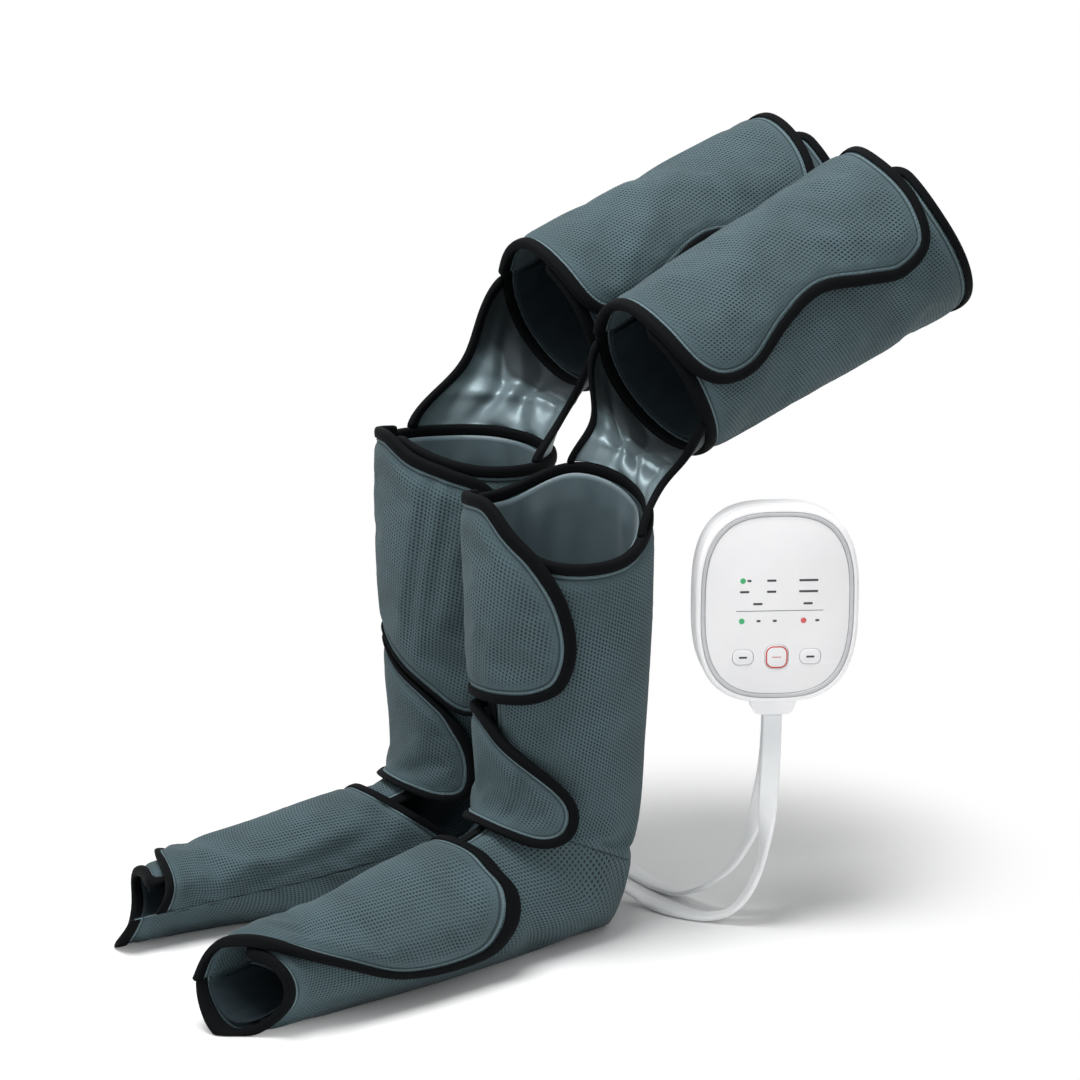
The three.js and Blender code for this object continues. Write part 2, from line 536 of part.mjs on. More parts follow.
const LEGS = [
  {
    name: 'left',
    x: 82,
    y: 0,
    toeOut: 10,
    thighX: 87,
    thighPitch: 23,
    thighHeight: 446,
    instep: 1,
    calfRim: [[10, 70], [40, 88], [90, 88], [120, 72], [150, 54], [215, 36], [270, 55], [320, 50]],
    kneeRim: [[20, -14], [90, -10], [150, 0], [210, 0], [270, -6], [320, -10]],
    hipRim: [[20, 266], [70, 263], [150, 284], [210, 284], [320, 270]],
    toeRim: [[-30, 672], [10, 650], [90, 636], [150, 648], [200, 660], [285, 672]],
    footClosure: { root: -75, free: -10 },
    panelCalf: [112, 222],
    panelThigh: [114, 300],
    upperFlap: {
      root: [46, 210],
      edge: [
        [-20, 42], [2, 44], [20, 66], [36, 86], [50, 117], [56, 155], [50, 187], [34, 202],
        [10, 208], [-20, 210],
      ],
      steps: 16,
      rings: 3,
    },
    lowerFlap: {
      root: [218, 343],
      edge: [
        [-14, 219], [14, 245], [41, 270], [56, 290], [61, 310], [58, 332], [44, 346],
        [20, 349], [-15, 346],
      ],
      steps: 18,
      rings: 2,
    },
    footFlap: {
      root: [388, 676],
      edge: [
        [-20, 376], [20, 375], [44, 386], [66, 400], [96, 440], [112, 480], [104, 540],
        [70, 582], [24, 636], [-20, 668],
      ],
      steps: 21,
      rings: 3,
    },
    thighFlap: {
      root: [-12, 268],
      edge: [
        [0, -12], [40, -13], [70, -8], [88, 12], [91, 45], [78, 86], [72, 125], [82, 168],
        [88, 200], [80, 232], [56, 245], [20, 250], [-20, 262],
      ],
      steps: 18,
      rings: 3,
    },
  },
  {
    name: 'right',
    x: -80,
    y: 12,
    toeOut: 0,
    thighX: -85,
    thighPitch: 19,
    thighHeight: 476,
    instep: 0.88,
    calfRim: [[10, 24], [60, 40], [110, 43], [150, 40], [215, 32], [270, 30], [320, 26]],
    kneeRim: [[20, -14], [90, -10], [150, 0], [210, 0], [270, -6], [320, -10]],
    hipRim: [[20, 276], [70, 274], [150, 284], [210, 284], [320, 276]],
    toeRim: [[40, 662], [-10, 648], [-90, 640], [-150, 650], [-200, 662], [-280, 672]],
    footClosure: { root: 80, free: 30 },
    panelCalf: [110, 290],
    panelThigh: [112, 304],
    upperFlap: {
      root: [22, 188],
      edge: [
        [-20, 18], [0, 19], [22, 32], [46, 42], [70, 56], [84, 92], [88, 150], [84, 208], [76, 240],
        [60, 256], [46, 254], [28, 239], [6, 222], [-22, 199],
      ],
      steps: 17,
      rings: 4,
      slim: [0.6, 2],
    },
    lowerFlap: {
      root: [192, 343],
      edge: [
        [-22, 204], [6, 226], [28, 242], [52, 268], [62, 296], [62, 328], [46, 343],
        [20, 346], [-15, 345],
      ],
      steps: 18,
      rings: 2,
      slim: [-1, 0.34],
    },
    footFlap: {
      root: [368, 648],
      edge: [
        [56, 366], [30, 365], [4, 366], [-24, 370], [-50, 384], [-76, 410], [-98, 450], [-106, 490],
        [-98, 540], [-66, 582], [-24, 616], [10, 632], [46, 642],
      ],
      steps: 22,
      rings: 4,
    },
    thighFlap: {
      root: [-12, 272],
      edge: [
        [0, -12], [40, -13], [70, -8], [86, 12], [88, 45], [76, 86], [70, 125], [80, 168],
        [85, 200], [78, 232], [56, 250], [20, 262], [-20, 268],
      ],
      steps: 18,
      rings: 3,
    },
  },
];

function rimLine(knots) {
  const sorted = [...knots].sort((a, b) => a[0] - b[0]);
  const curve = knotCurve(sorted.map(([angle, run]) => [angle, [run]]));
  return (angle) => curve(angle)[0];
}

const seamAtAnkle = () => ANKLE_RUN + 8;

for (const leg of LEGS) {
  const boot = bootSurface(leg);
  const thigh = thighSurface(leg);
  const calfRim = rimLine(leg.calfRim);
  const kneeRim = rimLine(leg.kneeRim);
  const hipRim = rimLine(leg.hipRim);
  const toeRim = rimLine(leg.toeRim);
  const round = 360;
  addSleeve(`${leg.name}_calf`, boot, DEGREE.calf, {
    from: CALF_CLOSURE.free,
    to: round + CALF_CLOSURE.root,
    upper: calfRim,
    lower: seamAtAnkle,
    columns: 14,
    shares: [0, 0.07, 0.32, 0.55, 0.73, 0.88, 1],
    boundUpper: true,
    boundLower: false,
  });
  const handed = -Math.sign(leg.footClosure.root);
  const footSleeve = addSleeve(`${leg.name}_foot`, boot, DEGREE.foot, {
    from: leg.footClosure.free,
    to: handed * round + leg.footClosure.root,
    upper: seamAtAnkle,
    lower: toeRim,
    columns: 13,
    shares: [0, 0.095, 0.16, 0.26, 0.43, 0.66, 0.93, 1],
    boundUpper: false,
    boundLower: true,
  });
  addSleeve(`${leg.name}_thigh`, thigh, DEGREE.thigh, {
    from: THIGH_CLOSURE.free,
    to: round + THIGH_CLOSURE.root,
    upper: kneeRim,
    lower: hipRim,
    columns: 14,
    shares: [0, 0.07, 0.5, 0.93, 1],
    boundUpper: true,
    boundLower: true,
  });
  addFlap(`${leg.name}_upper_calf_flap`, boot, DEGREE.calf, CALF_CLOSURE, leg.upperFlap);
  addFlap(`${leg.name}_lower_calf_flap`, boot, DEGREE.calf, CALF_CLOSURE, { ...leg.lowerFlap, seam: seamAtAnkle() });
  addFlap(`${leg.name}_foot_flap`, boot, DEGREE.foot * handed, leg.footClosure, leg.footFlap);
  addFlap(`${leg.name}_thigh_flap`, thigh, DEGREE.thigh, THIGH_CLOSURE, leg.thighFlap);
  addKneePanel(`${leg.name}_knee_panel`, boot, thigh, {
    calf: leg.panelCalf,
    thigh: leg.panelThigh,
    calfRim,
    thighRim: kneeRim,
  });
  leg.port = addHeelPort(`${leg.name}_heel_port`, leg, footSleeve);
}

// Handset: in its own frame X runs across, Y up and Z out of the face

const stand = new THREE.Group();
stand.position.set(...HANDSET_PLACE);
stand.rotation.z = rad(HANDSET_TURN);
model.add(stand);
const handset = new THREE.Group();
handset.rotation.x = rad(90);
stand.add(handset);

function addToHandset(name, geometry, material) {
  const mesh = new THREE.Mesh(geometry, material);
  mesh.name = name;
  handset.add(mesh);
  return mesh;
}

const OUTLINE_STEPS = 24;

// The handset's outline drawn in by a distance: a superellipse.
function outline(inset) {
  return Array.from({ length: OUTLINE_STEPS }, (_, i) => {
    const turn = (2 * Math.PI * (i + 0.5)) / OUTLINE_STEPS;
    const bend = (value) => Math.sign(value) * Math.abs(value) ** (2 / HANDSET_SQUARENESS);
    return new THREE.Vector2(
      (HANDSET_WIDTH / 2 - inset) * bend(Math.cos(turn)),
      (HANDSET_HEIGHT / 2 - inset) * bend(Math.sin(turn)),
    );
  });
}

// A moulding lofted through outlines, each [inset, height], from one face's middle to the other's.
function loft(profile) {
  const vertices = [];
  const faces = [];
  const rings = profile.map(([inset, height]) => outline(inset).map((point) => {
    vertices.push(new THREE.Vector3(point.x, point.y, height));
    return vertices.length - 1;
  }));
  const cap = (ring, height, flip) => {
    const middle = vertices.push(new THREE.Vector3(0, 0, height)) - 1;
    ring.forEach((index, i) => {
      const next = ring[(i + 1) % ring.length];
      faces.push(flip ? [middle, next, index] : [middle, index, next]);
    });
  };
  rings.slice(1).forEach((ring, r) => ring.forEach((index, i) => {
    const next = (i + 1) % ring.length;
    faces.push([rings[r][i], rings[r][next], ring[next]], [rings[r][i], ring[next], index]);
  }));
  cap(rings[0], profile[0][1], true);
  cap(rings[rings.length - 1], profile[profile.length - 1][1], false);
  return closedMesh(vertices, faces);
}

function cutAll(geometry, tools) {
  return toGeometry(tools.reduce((solid, tool) => solid.subtract(toSolid(tool)), toSolid(geometry)));
}

const recessFloor = FRONT_DEPTH - RING_HEIGHT;
const recessInset = FRONT_ROUNDING + RIM_WIDTH;
const plateBottom = recessFloor - CASE_WALL;
const faceInset = recessInset + PART_CLEARANCE + RING_WIDTH + PART_CLEARANCE;
const faceBottom = recessFloor + PART_CLEARANCE;
const faceTop = faceBottom + FACE_THICKNESS;
const keyTop = faceTop + KEY_STEP;
const keyBottom = keyTop - KEY_DEPTH;
const padTop = keyBottom - KEY_TRAVEL - PART_CLEARANCE;
const boardTop = padTop - PAD_THICKNESS - PART_CLEARANCE;
const boardBottom = boardTop - BOARD_THICKNESS;
const backFloor = -BACK_DEPTH + CASE_WALL;

const SIDE_KEY = [SIDE_KEY_WIDTH, SIDE_KEY_HEIGHT, SIDE_KEY_CORNER];
const POWER_KEY = [POWER_KEY_WIDTH, POWER_KEY_HEIGHT, POWER_KEY_CORNER];
const keys = [
  ['mode_key', -KEY_PITCH, SIDE_KEY],
  ['power_key', 0, POWER_KEY],
  ['heat_key', KEY_PITCH, SIDE_KEY],
];

// The holes that the keys stand in, through the face panel and the plate under it
const keyHoles = keys.map(([, x, [width, height, corner]]) => {
  const gap = KEY_CLEARANCE;
  const shape = roundedRectangle(width + 2 * gap, height + 2 * gap, corner + gap);
  return slab(shape, plateBottom - 1, keyTop + 1).translate(x, -KEY_DROP, 0);
});

// Power socket: its barrel lies across the right-hand wall of the back case
const inletX = HANDSET_WIDTH / 2;
const inletZ = -(BACK_DEPTH - BACK_ROUNDING) / 2;
const holeRadius = INLET_RADIUS + PART_CLEARANCE;
const inletHole = new THREE.CylinderGeometry(holeRadius, holeRadius, 20, 16);
inletHole.rotateZ(Math.PI / 2);
inletHole.translate(inletX, -INLET_DROP, inletZ);

const backCase = loft([
  [BACK_ROUNDING, backFloor],
  [CASE_WALL, backFloor + BACK_ROUNDING - CASE_WALL],
  [CASE_WALL, 0],
  [0, 0],
  [0, -BACK_DEPTH + BACK_ROUNDING],
  [BACK_ROUNDING * 0.3, -BACK_DEPTH + BACK_ROUNDING * 0.3],
  [BACK_ROUNDING, -BACK_DEPTH],
]);
addToHandset('back_case', cutAll(backCase, [inletHole]), SHELL);

const frontCase = loft([
  [FRONT_ROUNDING, plateBottom],
  [CASE_WALL, plateBottom - FRONT_ROUNDING + CASE_WALL],
  [CASE_WALL, PART_CLEARANCE],
  [0, PART_CLEARANCE],
  [0, FRONT_DEPTH - FRONT_ROUNDING],
  [FRONT_ROUNDING * 0.3, FRONT_DEPTH - FRONT_ROUNDING * 0.3],
  [FRONT_ROUNDING, FRONT_DEPTH],
  [recessInset, FRONT_DEPTH],
  [recessInset, recessFloor],
]);
addToHandset('front_case', cutAll(frontCase, keyHoles), SHELL);

const ringOuter = recessInset + PART_CLEARANCE;
const ringBore = loft([
  [ringOuter + RING_WIDTH, recessFloor - 1],
  [ringOuter + RING_WIDTH, FRONT_DEPTH + 1],
]);
const ringBlank = loft([
  [ringOuter, recessFloor + PART_CLEARANCE],
  [ringOuter, FRONT_DEPTH - 0.6],
  [ringOuter + 0.8, FRONT_DEPTH + 0.2],
]);
addToHandset('trim_ring', cutAll(ringBlank, [ringBore]), GREY);

const facePlate = loft([
  [faceInset, faceBottom],
  [faceInset, faceTop - 0.5],
  [faceInset + 0.5, faceTop],
]);
addToHandset('face_panel', cutAll(facePlate, keyHoles), GLOSS);

for (const [name, x, size] of keys) {
  addToHandset(name, slab(roundedRectangle(...size), keyBottom, keyTop), KEY).position.set(x, -KEY_DROP, 0);
}

const padWidth = 2 * KEY_PITCH + SIDE_KEY_WIDTH + 2 * PAD_MARGIN;
const padShape = roundedRectangle(padWidth, POWER_KEY_HEIGHT + 2 * PAD_MARGIN, PAD_CORNER);
const padMesh = addToHandset('key_pad', slab(padShape, padTop - PAD_THICKNESS, padTop), RUBBER);
padMesh.position.y = -KEY_DROP;

addToHandset('circuit_board', loft([
  [CASE_WALL + BOARD_CLEARANCE, boardBottom],
  [CASE_WALL + BOARD_CLEARANCE, boardTop],
]), BOARD);

const pump = new THREE.CylinderGeometry(PUMP_RADIUS, PUMP_RADIUS, PUMP_LENGTH, 20);
pump.rotateZ(Math.PI / 2);
const pumpHeight = backFloor + PART_CLEARANCE + PUMP_RADIUS;
addToHandset('air_pump', pump, METAL).position.set(0, PUMP_RISE, pumpHeight);

const valve = slab(roundedRectangle(VALVE_WIDTH, VALVE_HEIGHT, 3), 0, VALVE_DEPTH);
addToHandset('valve_block', valve, RUBBER).position.set(0, -VALVE_DROP, backFloor + PART_CLEARANCE);

const inlet = new THREE.LatheGeometry([
  new THREE.Vector2(0, -INLET_LENGTH),
  new THREE.Vector2(INLET_RADIUS, -INLET_LENGTH),
  new THREE.Vector2(INLET_RADIUS, 0),
  new THREE.Vector2(INLET_BORE, 0),
  new THREE.Vector2(INLET_BORE, -INLET_LENGTH + CASE_WALL),
  new THREE.Vector2(0, -INLET_LENGTH + CASE_WALL),
], 16);
inlet.rotateZ(-Math.PI / 2);
addToHandset('power_inlet', inlet, RUBBER).position.set(inletX, -INLET_DROP, inletZ);

// The gland grips both flat hoses under the handset
const glandTop = -HANDSET_HEIGHT / 2 - PART_CLEARANCE;
const glandBottom = glandTop - GLAND_HEIGHT;
const glandShape = new THREE.Shape([
  new THREE.Vector2(-GLAND_WIDTH / 2, glandTop),
  new THREE.Vector2(-GLAND_WIDTH / 2, glandTop - GLAND_HEIGHT * 0.4),
  new THREE.Vector2(-GLAND_WIDTH / 2 + GLAND_TAPER / 2, glandBottom),
  new THREE.Vector2(GLAND_WIDTH / 2 - GLAND_TAPER / 2, glandBottom),
  new THREE.Vector2(GLAND_WIDTH / 2, glandTop - GLAND_HEIGHT * 0.4),
  new THREE.Vector2(GLAND_WIDTH / 2, glandTop),
]);
const glandMiddle = -(BACK_DEPTH - BACK_ROUNDING) / 2 + 2;
const gland = slab(glandShape, glandMiddle - GLAND_DEPTH / 2, glandMiddle + GLAND_DEPTH / 2);
addToHandset('hose_gland', gland, SHELL);

// The two flat hoses hang from the gland, one before the other, and lie along the floor to the
// heels. Hanging, each turns a quarter round, so that it lies flat on the floor.

const across = new THREE.Vector3(1, 0, 0).applyAxisAngle(UPRIGHT, rad(HANDSET_TURN));
const outward = new THREE.Vector3(0, -1, 0).applyAxisAngle(UPRIGHT, rad(HANDSET_TURN));

class HosePath extends THREE.CatmullRomCurve3 {
  constructor(points, turnFrom, turnTo) {
    super(points, false, 'centripetal');
    this.turnFrom = turnFrom;
    this.turnTo = turnTo;
  }

  computeFrenetFrames(steps) {
    const shares = Array.from({ length: steps + 1 }, (_, i) => i / steps);
    const tangents = shares.map((share) => this.getTangentAt(share));
    const normals = shares.map((share, i) => {
      const turned = THREE.MathUtils.smoothstep(share, this.turnFrom, this.turnTo);
      const side = turned < 1
        ? across.clone().applyAxisAngle(UPRIGHT, -rad(90) * turned)
        : UPRIGHT.clone().cross(tangents[i]);
      return side.projectOnPlane(tangents[i]).normalize();
    });
    const binormals = normals.map((normal, i) => tangents[i].clone().cross(normal));
    return { tangents, normals, binormals };
  }
}

function addHose(name, gap, route, port, turnFrom, turnTo) {
  const mouth = new THREE.Vector3(...HANDSET_PLACE)
    .addScaledVector(outward, glandMiddle + gap)
    .addScaledVector(UPRIGHT, glandBottom - SEAM_CLEARANCE);
  const lead = mouth.clone().addScaledVector(UPRIGHT, -HOSE_LEAD);
  const points = [mouth, lead, ...route.map((place) => new THREE.Vector3(...place)), ...port];
  const path = new HosePath(points, turnFrom, turnTo);
  const [x, y] = [HOSE_WIDTH / 2, HOSE_THICKNESS / 2];
  const shape = new THREE.Shape([
    new THREE.Vector2(x, -y / 2), new THREE.Vector2(x, y / 2),
    new THREE.Vector2(x - y, y), new THREE.Vector2(-x + y, y),
    new THREE.Vector2(-x, y / 2), new THREE.Vector2(-x, -y / 2),
    new THREE.Vector2(-x + y, -y), new THREE.Vector2(x - y, -y),
  ]);
  const steps = Math.round(path.getLength() / HOSE_STEP);
  addMesh(name, new THREE.ExtrudeGeometry(shape, { steps, extrudePath: path }), HOSE);
}

const leftRoute = [
  [173.4, 147.8, 140], [175.2, 145, 108], [174, 143.4, 76], [166.7, 143.6, 50], [158, 137.2, 26],
  [145.5, 128.5, 9], [131.9, 118.1, 2.8], [114.5, 105.4, 2.6], [96, 98.2, 2.6], [79, 94, 4],
];
const rightRoute = [
  [165.4, 151.6, 142], [161, 148.8, 108], [156.6, 142.4, 78], [143, 136, 50], [121, 128, 27],
  [87, 127, 8], [52, 125, 2.6], [0, 126, 2.6], [-48, 126, 2.6], [-75, 119, 3], [-88, 106, 6],
];
addHose('left_hose', HOSE_PITCH / 2, leftRoute, LEGS[0].port, 0.15, 0.42);
addHose('right_hose', -HOSE_PITCH / 2, rightRoute, LEGS[1].port, 0.12, 0.3);

export default model;
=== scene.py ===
# %% [markdown]
# # Air compression leg massager
# Two padded wraps stand in their worn shape, each with a foot, a calf and a thigh part, and a
# white handset feeds them air through two flat hoses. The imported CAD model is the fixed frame:
# every piece below sits where its CAD node sits, and moves with the same body.
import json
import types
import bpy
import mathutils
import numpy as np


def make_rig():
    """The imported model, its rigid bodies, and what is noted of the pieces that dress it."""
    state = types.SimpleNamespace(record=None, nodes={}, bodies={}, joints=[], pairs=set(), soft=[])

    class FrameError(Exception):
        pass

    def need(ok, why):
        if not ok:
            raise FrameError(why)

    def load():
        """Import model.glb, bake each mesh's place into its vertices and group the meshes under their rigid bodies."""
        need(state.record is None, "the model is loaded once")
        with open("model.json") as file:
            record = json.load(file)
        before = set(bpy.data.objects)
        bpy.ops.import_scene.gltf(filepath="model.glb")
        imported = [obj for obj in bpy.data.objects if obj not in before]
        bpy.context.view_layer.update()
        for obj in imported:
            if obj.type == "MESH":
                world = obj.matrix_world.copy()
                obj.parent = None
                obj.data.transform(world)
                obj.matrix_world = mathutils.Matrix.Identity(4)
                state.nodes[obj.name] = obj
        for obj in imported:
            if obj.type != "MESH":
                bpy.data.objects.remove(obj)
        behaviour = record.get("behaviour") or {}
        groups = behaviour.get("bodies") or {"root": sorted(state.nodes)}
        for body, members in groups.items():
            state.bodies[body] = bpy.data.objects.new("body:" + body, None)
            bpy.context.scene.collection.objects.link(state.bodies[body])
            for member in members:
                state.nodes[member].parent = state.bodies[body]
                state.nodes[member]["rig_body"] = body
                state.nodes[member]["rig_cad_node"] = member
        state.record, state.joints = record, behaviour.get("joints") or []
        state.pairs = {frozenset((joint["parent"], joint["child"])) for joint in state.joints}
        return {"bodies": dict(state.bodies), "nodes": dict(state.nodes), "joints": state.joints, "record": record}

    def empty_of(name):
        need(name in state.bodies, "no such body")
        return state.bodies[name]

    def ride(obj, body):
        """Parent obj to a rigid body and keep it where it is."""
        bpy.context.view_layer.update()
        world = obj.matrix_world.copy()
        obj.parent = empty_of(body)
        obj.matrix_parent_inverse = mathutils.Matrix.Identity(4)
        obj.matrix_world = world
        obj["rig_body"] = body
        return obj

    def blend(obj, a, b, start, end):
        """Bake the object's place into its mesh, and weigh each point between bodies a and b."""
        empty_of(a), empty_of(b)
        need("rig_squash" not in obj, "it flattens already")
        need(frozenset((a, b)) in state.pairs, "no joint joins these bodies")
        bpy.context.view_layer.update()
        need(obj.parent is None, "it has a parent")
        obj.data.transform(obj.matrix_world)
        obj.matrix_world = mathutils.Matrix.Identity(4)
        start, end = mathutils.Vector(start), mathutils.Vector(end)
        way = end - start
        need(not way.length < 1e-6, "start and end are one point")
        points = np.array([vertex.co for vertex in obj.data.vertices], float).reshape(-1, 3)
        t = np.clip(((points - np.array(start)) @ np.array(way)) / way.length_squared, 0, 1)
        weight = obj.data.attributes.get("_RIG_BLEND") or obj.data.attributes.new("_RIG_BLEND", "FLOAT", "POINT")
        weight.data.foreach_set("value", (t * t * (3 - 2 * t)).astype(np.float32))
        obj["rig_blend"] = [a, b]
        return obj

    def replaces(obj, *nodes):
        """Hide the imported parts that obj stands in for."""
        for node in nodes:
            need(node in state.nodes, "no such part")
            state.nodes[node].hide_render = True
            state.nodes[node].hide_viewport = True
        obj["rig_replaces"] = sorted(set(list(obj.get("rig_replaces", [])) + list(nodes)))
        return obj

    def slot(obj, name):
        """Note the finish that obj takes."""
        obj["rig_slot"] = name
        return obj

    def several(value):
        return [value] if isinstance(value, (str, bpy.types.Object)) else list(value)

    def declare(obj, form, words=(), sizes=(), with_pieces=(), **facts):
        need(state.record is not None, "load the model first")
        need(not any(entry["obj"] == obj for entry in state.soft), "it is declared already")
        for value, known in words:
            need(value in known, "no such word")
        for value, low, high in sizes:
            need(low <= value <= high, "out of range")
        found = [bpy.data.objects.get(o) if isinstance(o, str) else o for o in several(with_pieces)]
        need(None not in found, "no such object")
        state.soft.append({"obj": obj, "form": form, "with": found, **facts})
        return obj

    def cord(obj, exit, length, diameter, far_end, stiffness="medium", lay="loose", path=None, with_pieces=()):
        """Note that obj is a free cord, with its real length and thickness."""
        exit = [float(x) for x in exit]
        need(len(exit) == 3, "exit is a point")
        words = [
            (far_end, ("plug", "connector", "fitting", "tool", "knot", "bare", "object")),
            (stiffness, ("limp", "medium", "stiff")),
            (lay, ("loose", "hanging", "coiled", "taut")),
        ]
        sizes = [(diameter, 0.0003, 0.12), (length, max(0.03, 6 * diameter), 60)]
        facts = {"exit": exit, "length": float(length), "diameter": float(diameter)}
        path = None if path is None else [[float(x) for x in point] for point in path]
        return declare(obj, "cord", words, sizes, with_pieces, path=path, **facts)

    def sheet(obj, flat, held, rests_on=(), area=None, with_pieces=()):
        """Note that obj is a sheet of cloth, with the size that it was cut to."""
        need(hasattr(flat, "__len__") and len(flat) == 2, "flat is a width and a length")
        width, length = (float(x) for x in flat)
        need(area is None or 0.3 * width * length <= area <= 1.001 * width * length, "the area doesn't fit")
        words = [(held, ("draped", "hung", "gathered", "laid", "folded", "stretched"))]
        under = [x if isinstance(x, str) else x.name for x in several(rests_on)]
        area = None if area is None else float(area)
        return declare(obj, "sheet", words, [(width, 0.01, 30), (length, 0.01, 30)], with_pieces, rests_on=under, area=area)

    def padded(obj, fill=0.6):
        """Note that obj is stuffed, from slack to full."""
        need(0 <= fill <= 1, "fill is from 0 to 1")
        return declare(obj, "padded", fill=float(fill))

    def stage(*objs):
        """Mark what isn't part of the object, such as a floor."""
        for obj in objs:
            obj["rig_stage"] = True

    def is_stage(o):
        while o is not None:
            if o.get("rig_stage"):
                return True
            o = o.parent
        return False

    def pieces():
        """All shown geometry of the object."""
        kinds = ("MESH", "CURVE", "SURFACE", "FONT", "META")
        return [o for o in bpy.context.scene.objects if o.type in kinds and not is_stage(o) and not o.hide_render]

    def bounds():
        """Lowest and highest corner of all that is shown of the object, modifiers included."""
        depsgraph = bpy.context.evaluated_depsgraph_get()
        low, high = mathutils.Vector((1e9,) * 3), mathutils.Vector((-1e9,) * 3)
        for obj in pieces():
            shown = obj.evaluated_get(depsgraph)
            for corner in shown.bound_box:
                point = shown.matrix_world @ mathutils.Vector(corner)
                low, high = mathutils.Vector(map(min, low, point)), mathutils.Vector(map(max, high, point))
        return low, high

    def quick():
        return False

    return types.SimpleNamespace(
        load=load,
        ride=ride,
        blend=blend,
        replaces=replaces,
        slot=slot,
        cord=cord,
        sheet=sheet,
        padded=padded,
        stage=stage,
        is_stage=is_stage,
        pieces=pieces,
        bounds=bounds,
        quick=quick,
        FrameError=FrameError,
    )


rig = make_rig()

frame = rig.load()

import json
import math

import bmesh
import bpy
import numpy as np
from mathutils import Matrix, Vector

cad_low, cad_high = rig.bounds()
MM = 0.001
print("frame loaded,", len(frame["nodes"]), "nodes")

# %% [markdown]
# ## Camera
# The photograph was taken from the front left of the legs, a little above the knee. A long lens
# keeps the two legs almost parallel, as in a catalogue picture.

# %% Camera
CAMERA_PLACE = Vector((1.748, -1.0555, 0.764))
CAMERA_AIM = Vector((0.017, 0.026, 0.311))

camera_data = bpy.data.cameras.new("camera")
camera_data.lens = 85
camera_data.sensor_width = 36
camera = bpy.data.objects.new("camera", camera_data)
bpy.context.scene.collection.objects.link(camera)
camera.location = CAMERA_PLACE
camera.rotation_mode = "QUATERNION"
camera.rotation_quaternion = (CAMERA_AIM - CAMERA_PLACE).to_track_quat("-Z", "Y")
bpy.context.scene.camera = camera
bpy.context.view_layer.update()
print("camera looks at", tuple(round(c, 3) for c in CAMERA_AIM))

# %% [markdown]
# ## Materials
# Each finish is a small set of nodes. A number that is the same all over a surface goes straight
# onto the shader's socket. What changes over the surface, such as a weave, comes from textures on
# the piece's own UV map, which is laid out in metres, so that a thread has its real width.


# %% Helpers for node materials
def colour(code):
    """A colour written as six hex digits, turned into the linear numbers that the shader needs."""
    channels = [int(code[i:i + 2], 16) / 255 for i in (0, 2, 4)]
    return tuple(c / 12.92 if c <= 0.04045 else ((c + 0.055) / 1.055) ** 2.4 for c in channels) + (1,)


def finish_of(name, code, roughness, **sockets):
    """A new material with its shader's constant values set. Returns the material and its shader."""
    material = bpy.data.materials.new(name)
    material.use_nodes = True
    shader = material.node_tree.nodes["Principled BSDF"]
    shader.inputs["Base Color"].default_value = colour(code)
    shader.inputs["Roughness"].default_value = roughness
    for socket, value in sockets.items():
        shader.inputs[socket.replace("_", " ")].default_value = value
    return material, shader


# %% Short words for nodes
class Graph:
    """Short words for the nodes that the materials share."""

    def __init__(self, material):
        self.nodes = material.node_tree.nodes
        self.links = material.node_tree.links

    def add(self, kind, **values):
        node = self.nodes.new(kind)
        for name, value in values.items():
            setattr(node, name, value)
        return node

    def feed(self, socket, source):
        if isinstance(source, (int, float, tuple)):
            socket.default_value = source
        else:
            self.links.new(source, socket)

    def math(self, operation, a, b=0.0):
        node = self.add("ShaderNodeMath", operation=operation)
        self.feed(node.inputs[0], a)
        self.feed(node.inputs[1], b)
        return node.outputs[0]

    def place(self, source, scale=(1, 1, 1), turn=0.0):
        mapping = self.add("ShaderNodeMapping")
        self.feed(mapping.inputs["Vector"], source)
        mapping.inputs["Scale"].default_value = scale
        mapping.inputs["Rotation"].default_value = (0, 0, turn)
        return mapping.outputs[0]

    def split(self, source):
        node = self.add("ShaderNodeSeparateXYZ")
        self.feed(node.inputs[0], source)
        return node.outputs

    def noise(self, source, scale, detail, roughness=0.5):
        node = self.add("ShaderNodeTexNoise")
        self.feed(node.inputs["Vector"], source)
        node.inputs["Scale"].default_value = scale
        node.inputs["Detail"].default_value = detail
        node.inputs["Roughness"].default_value = roughness
        return node.outputs["Fac"]

    def spread(self, source, low, high, to_low=0.0, to_high=1.0):
        node = self.add("ShaderNodeMapRange")
        node.interpolation_type = "SMOOTHSTEP"
        self.feed(node.inputs["Value"], source)
        node.inputs["From Min"].default_value = low
        node.inputs["From Max"].default_value = high
        node.inputs["To Min"].default_value = to_low
        node.inputs["To Max"].default_value = to_high
        return node.outputs["Result"]

    def mix(self, share, a, b):
        node = self.add("ShaderNodeMix", data_type="RGBA")
        self.feed(node.inputs[0], share)
        self.feed(node.inputs[6], a)
        self.feed(node.inputs[7], b)
        return node.outputs[2]

    def bump(self, height, distance, strength):
        node = self.add("ShaderNodeBump")
        node.inputs["Strength"].default_value = strength
        node.inputs["Distance"].default_value = distance
        self.feed(node.inputs["Height"], height)
        return node.outputs["Normal"]

    def uv(self):
        return self.add("ShaderNodeTexCoord").outputs["UV"]

    def object(self):
        return self.add("ShaderNodeTexCoord").outputs["Object"]


print("material helpers ready")

# %% [markdown]
# ### Air mesh cloth
# The outer cloth is a knitted spacer mesh: small oval holes in staggered rows, about 3 mm apart,
# with a matt face. The product of two cosines has its peaks on just such a staggered lattice, so
# it makes the holes. They are darker, and they sink in the bump.

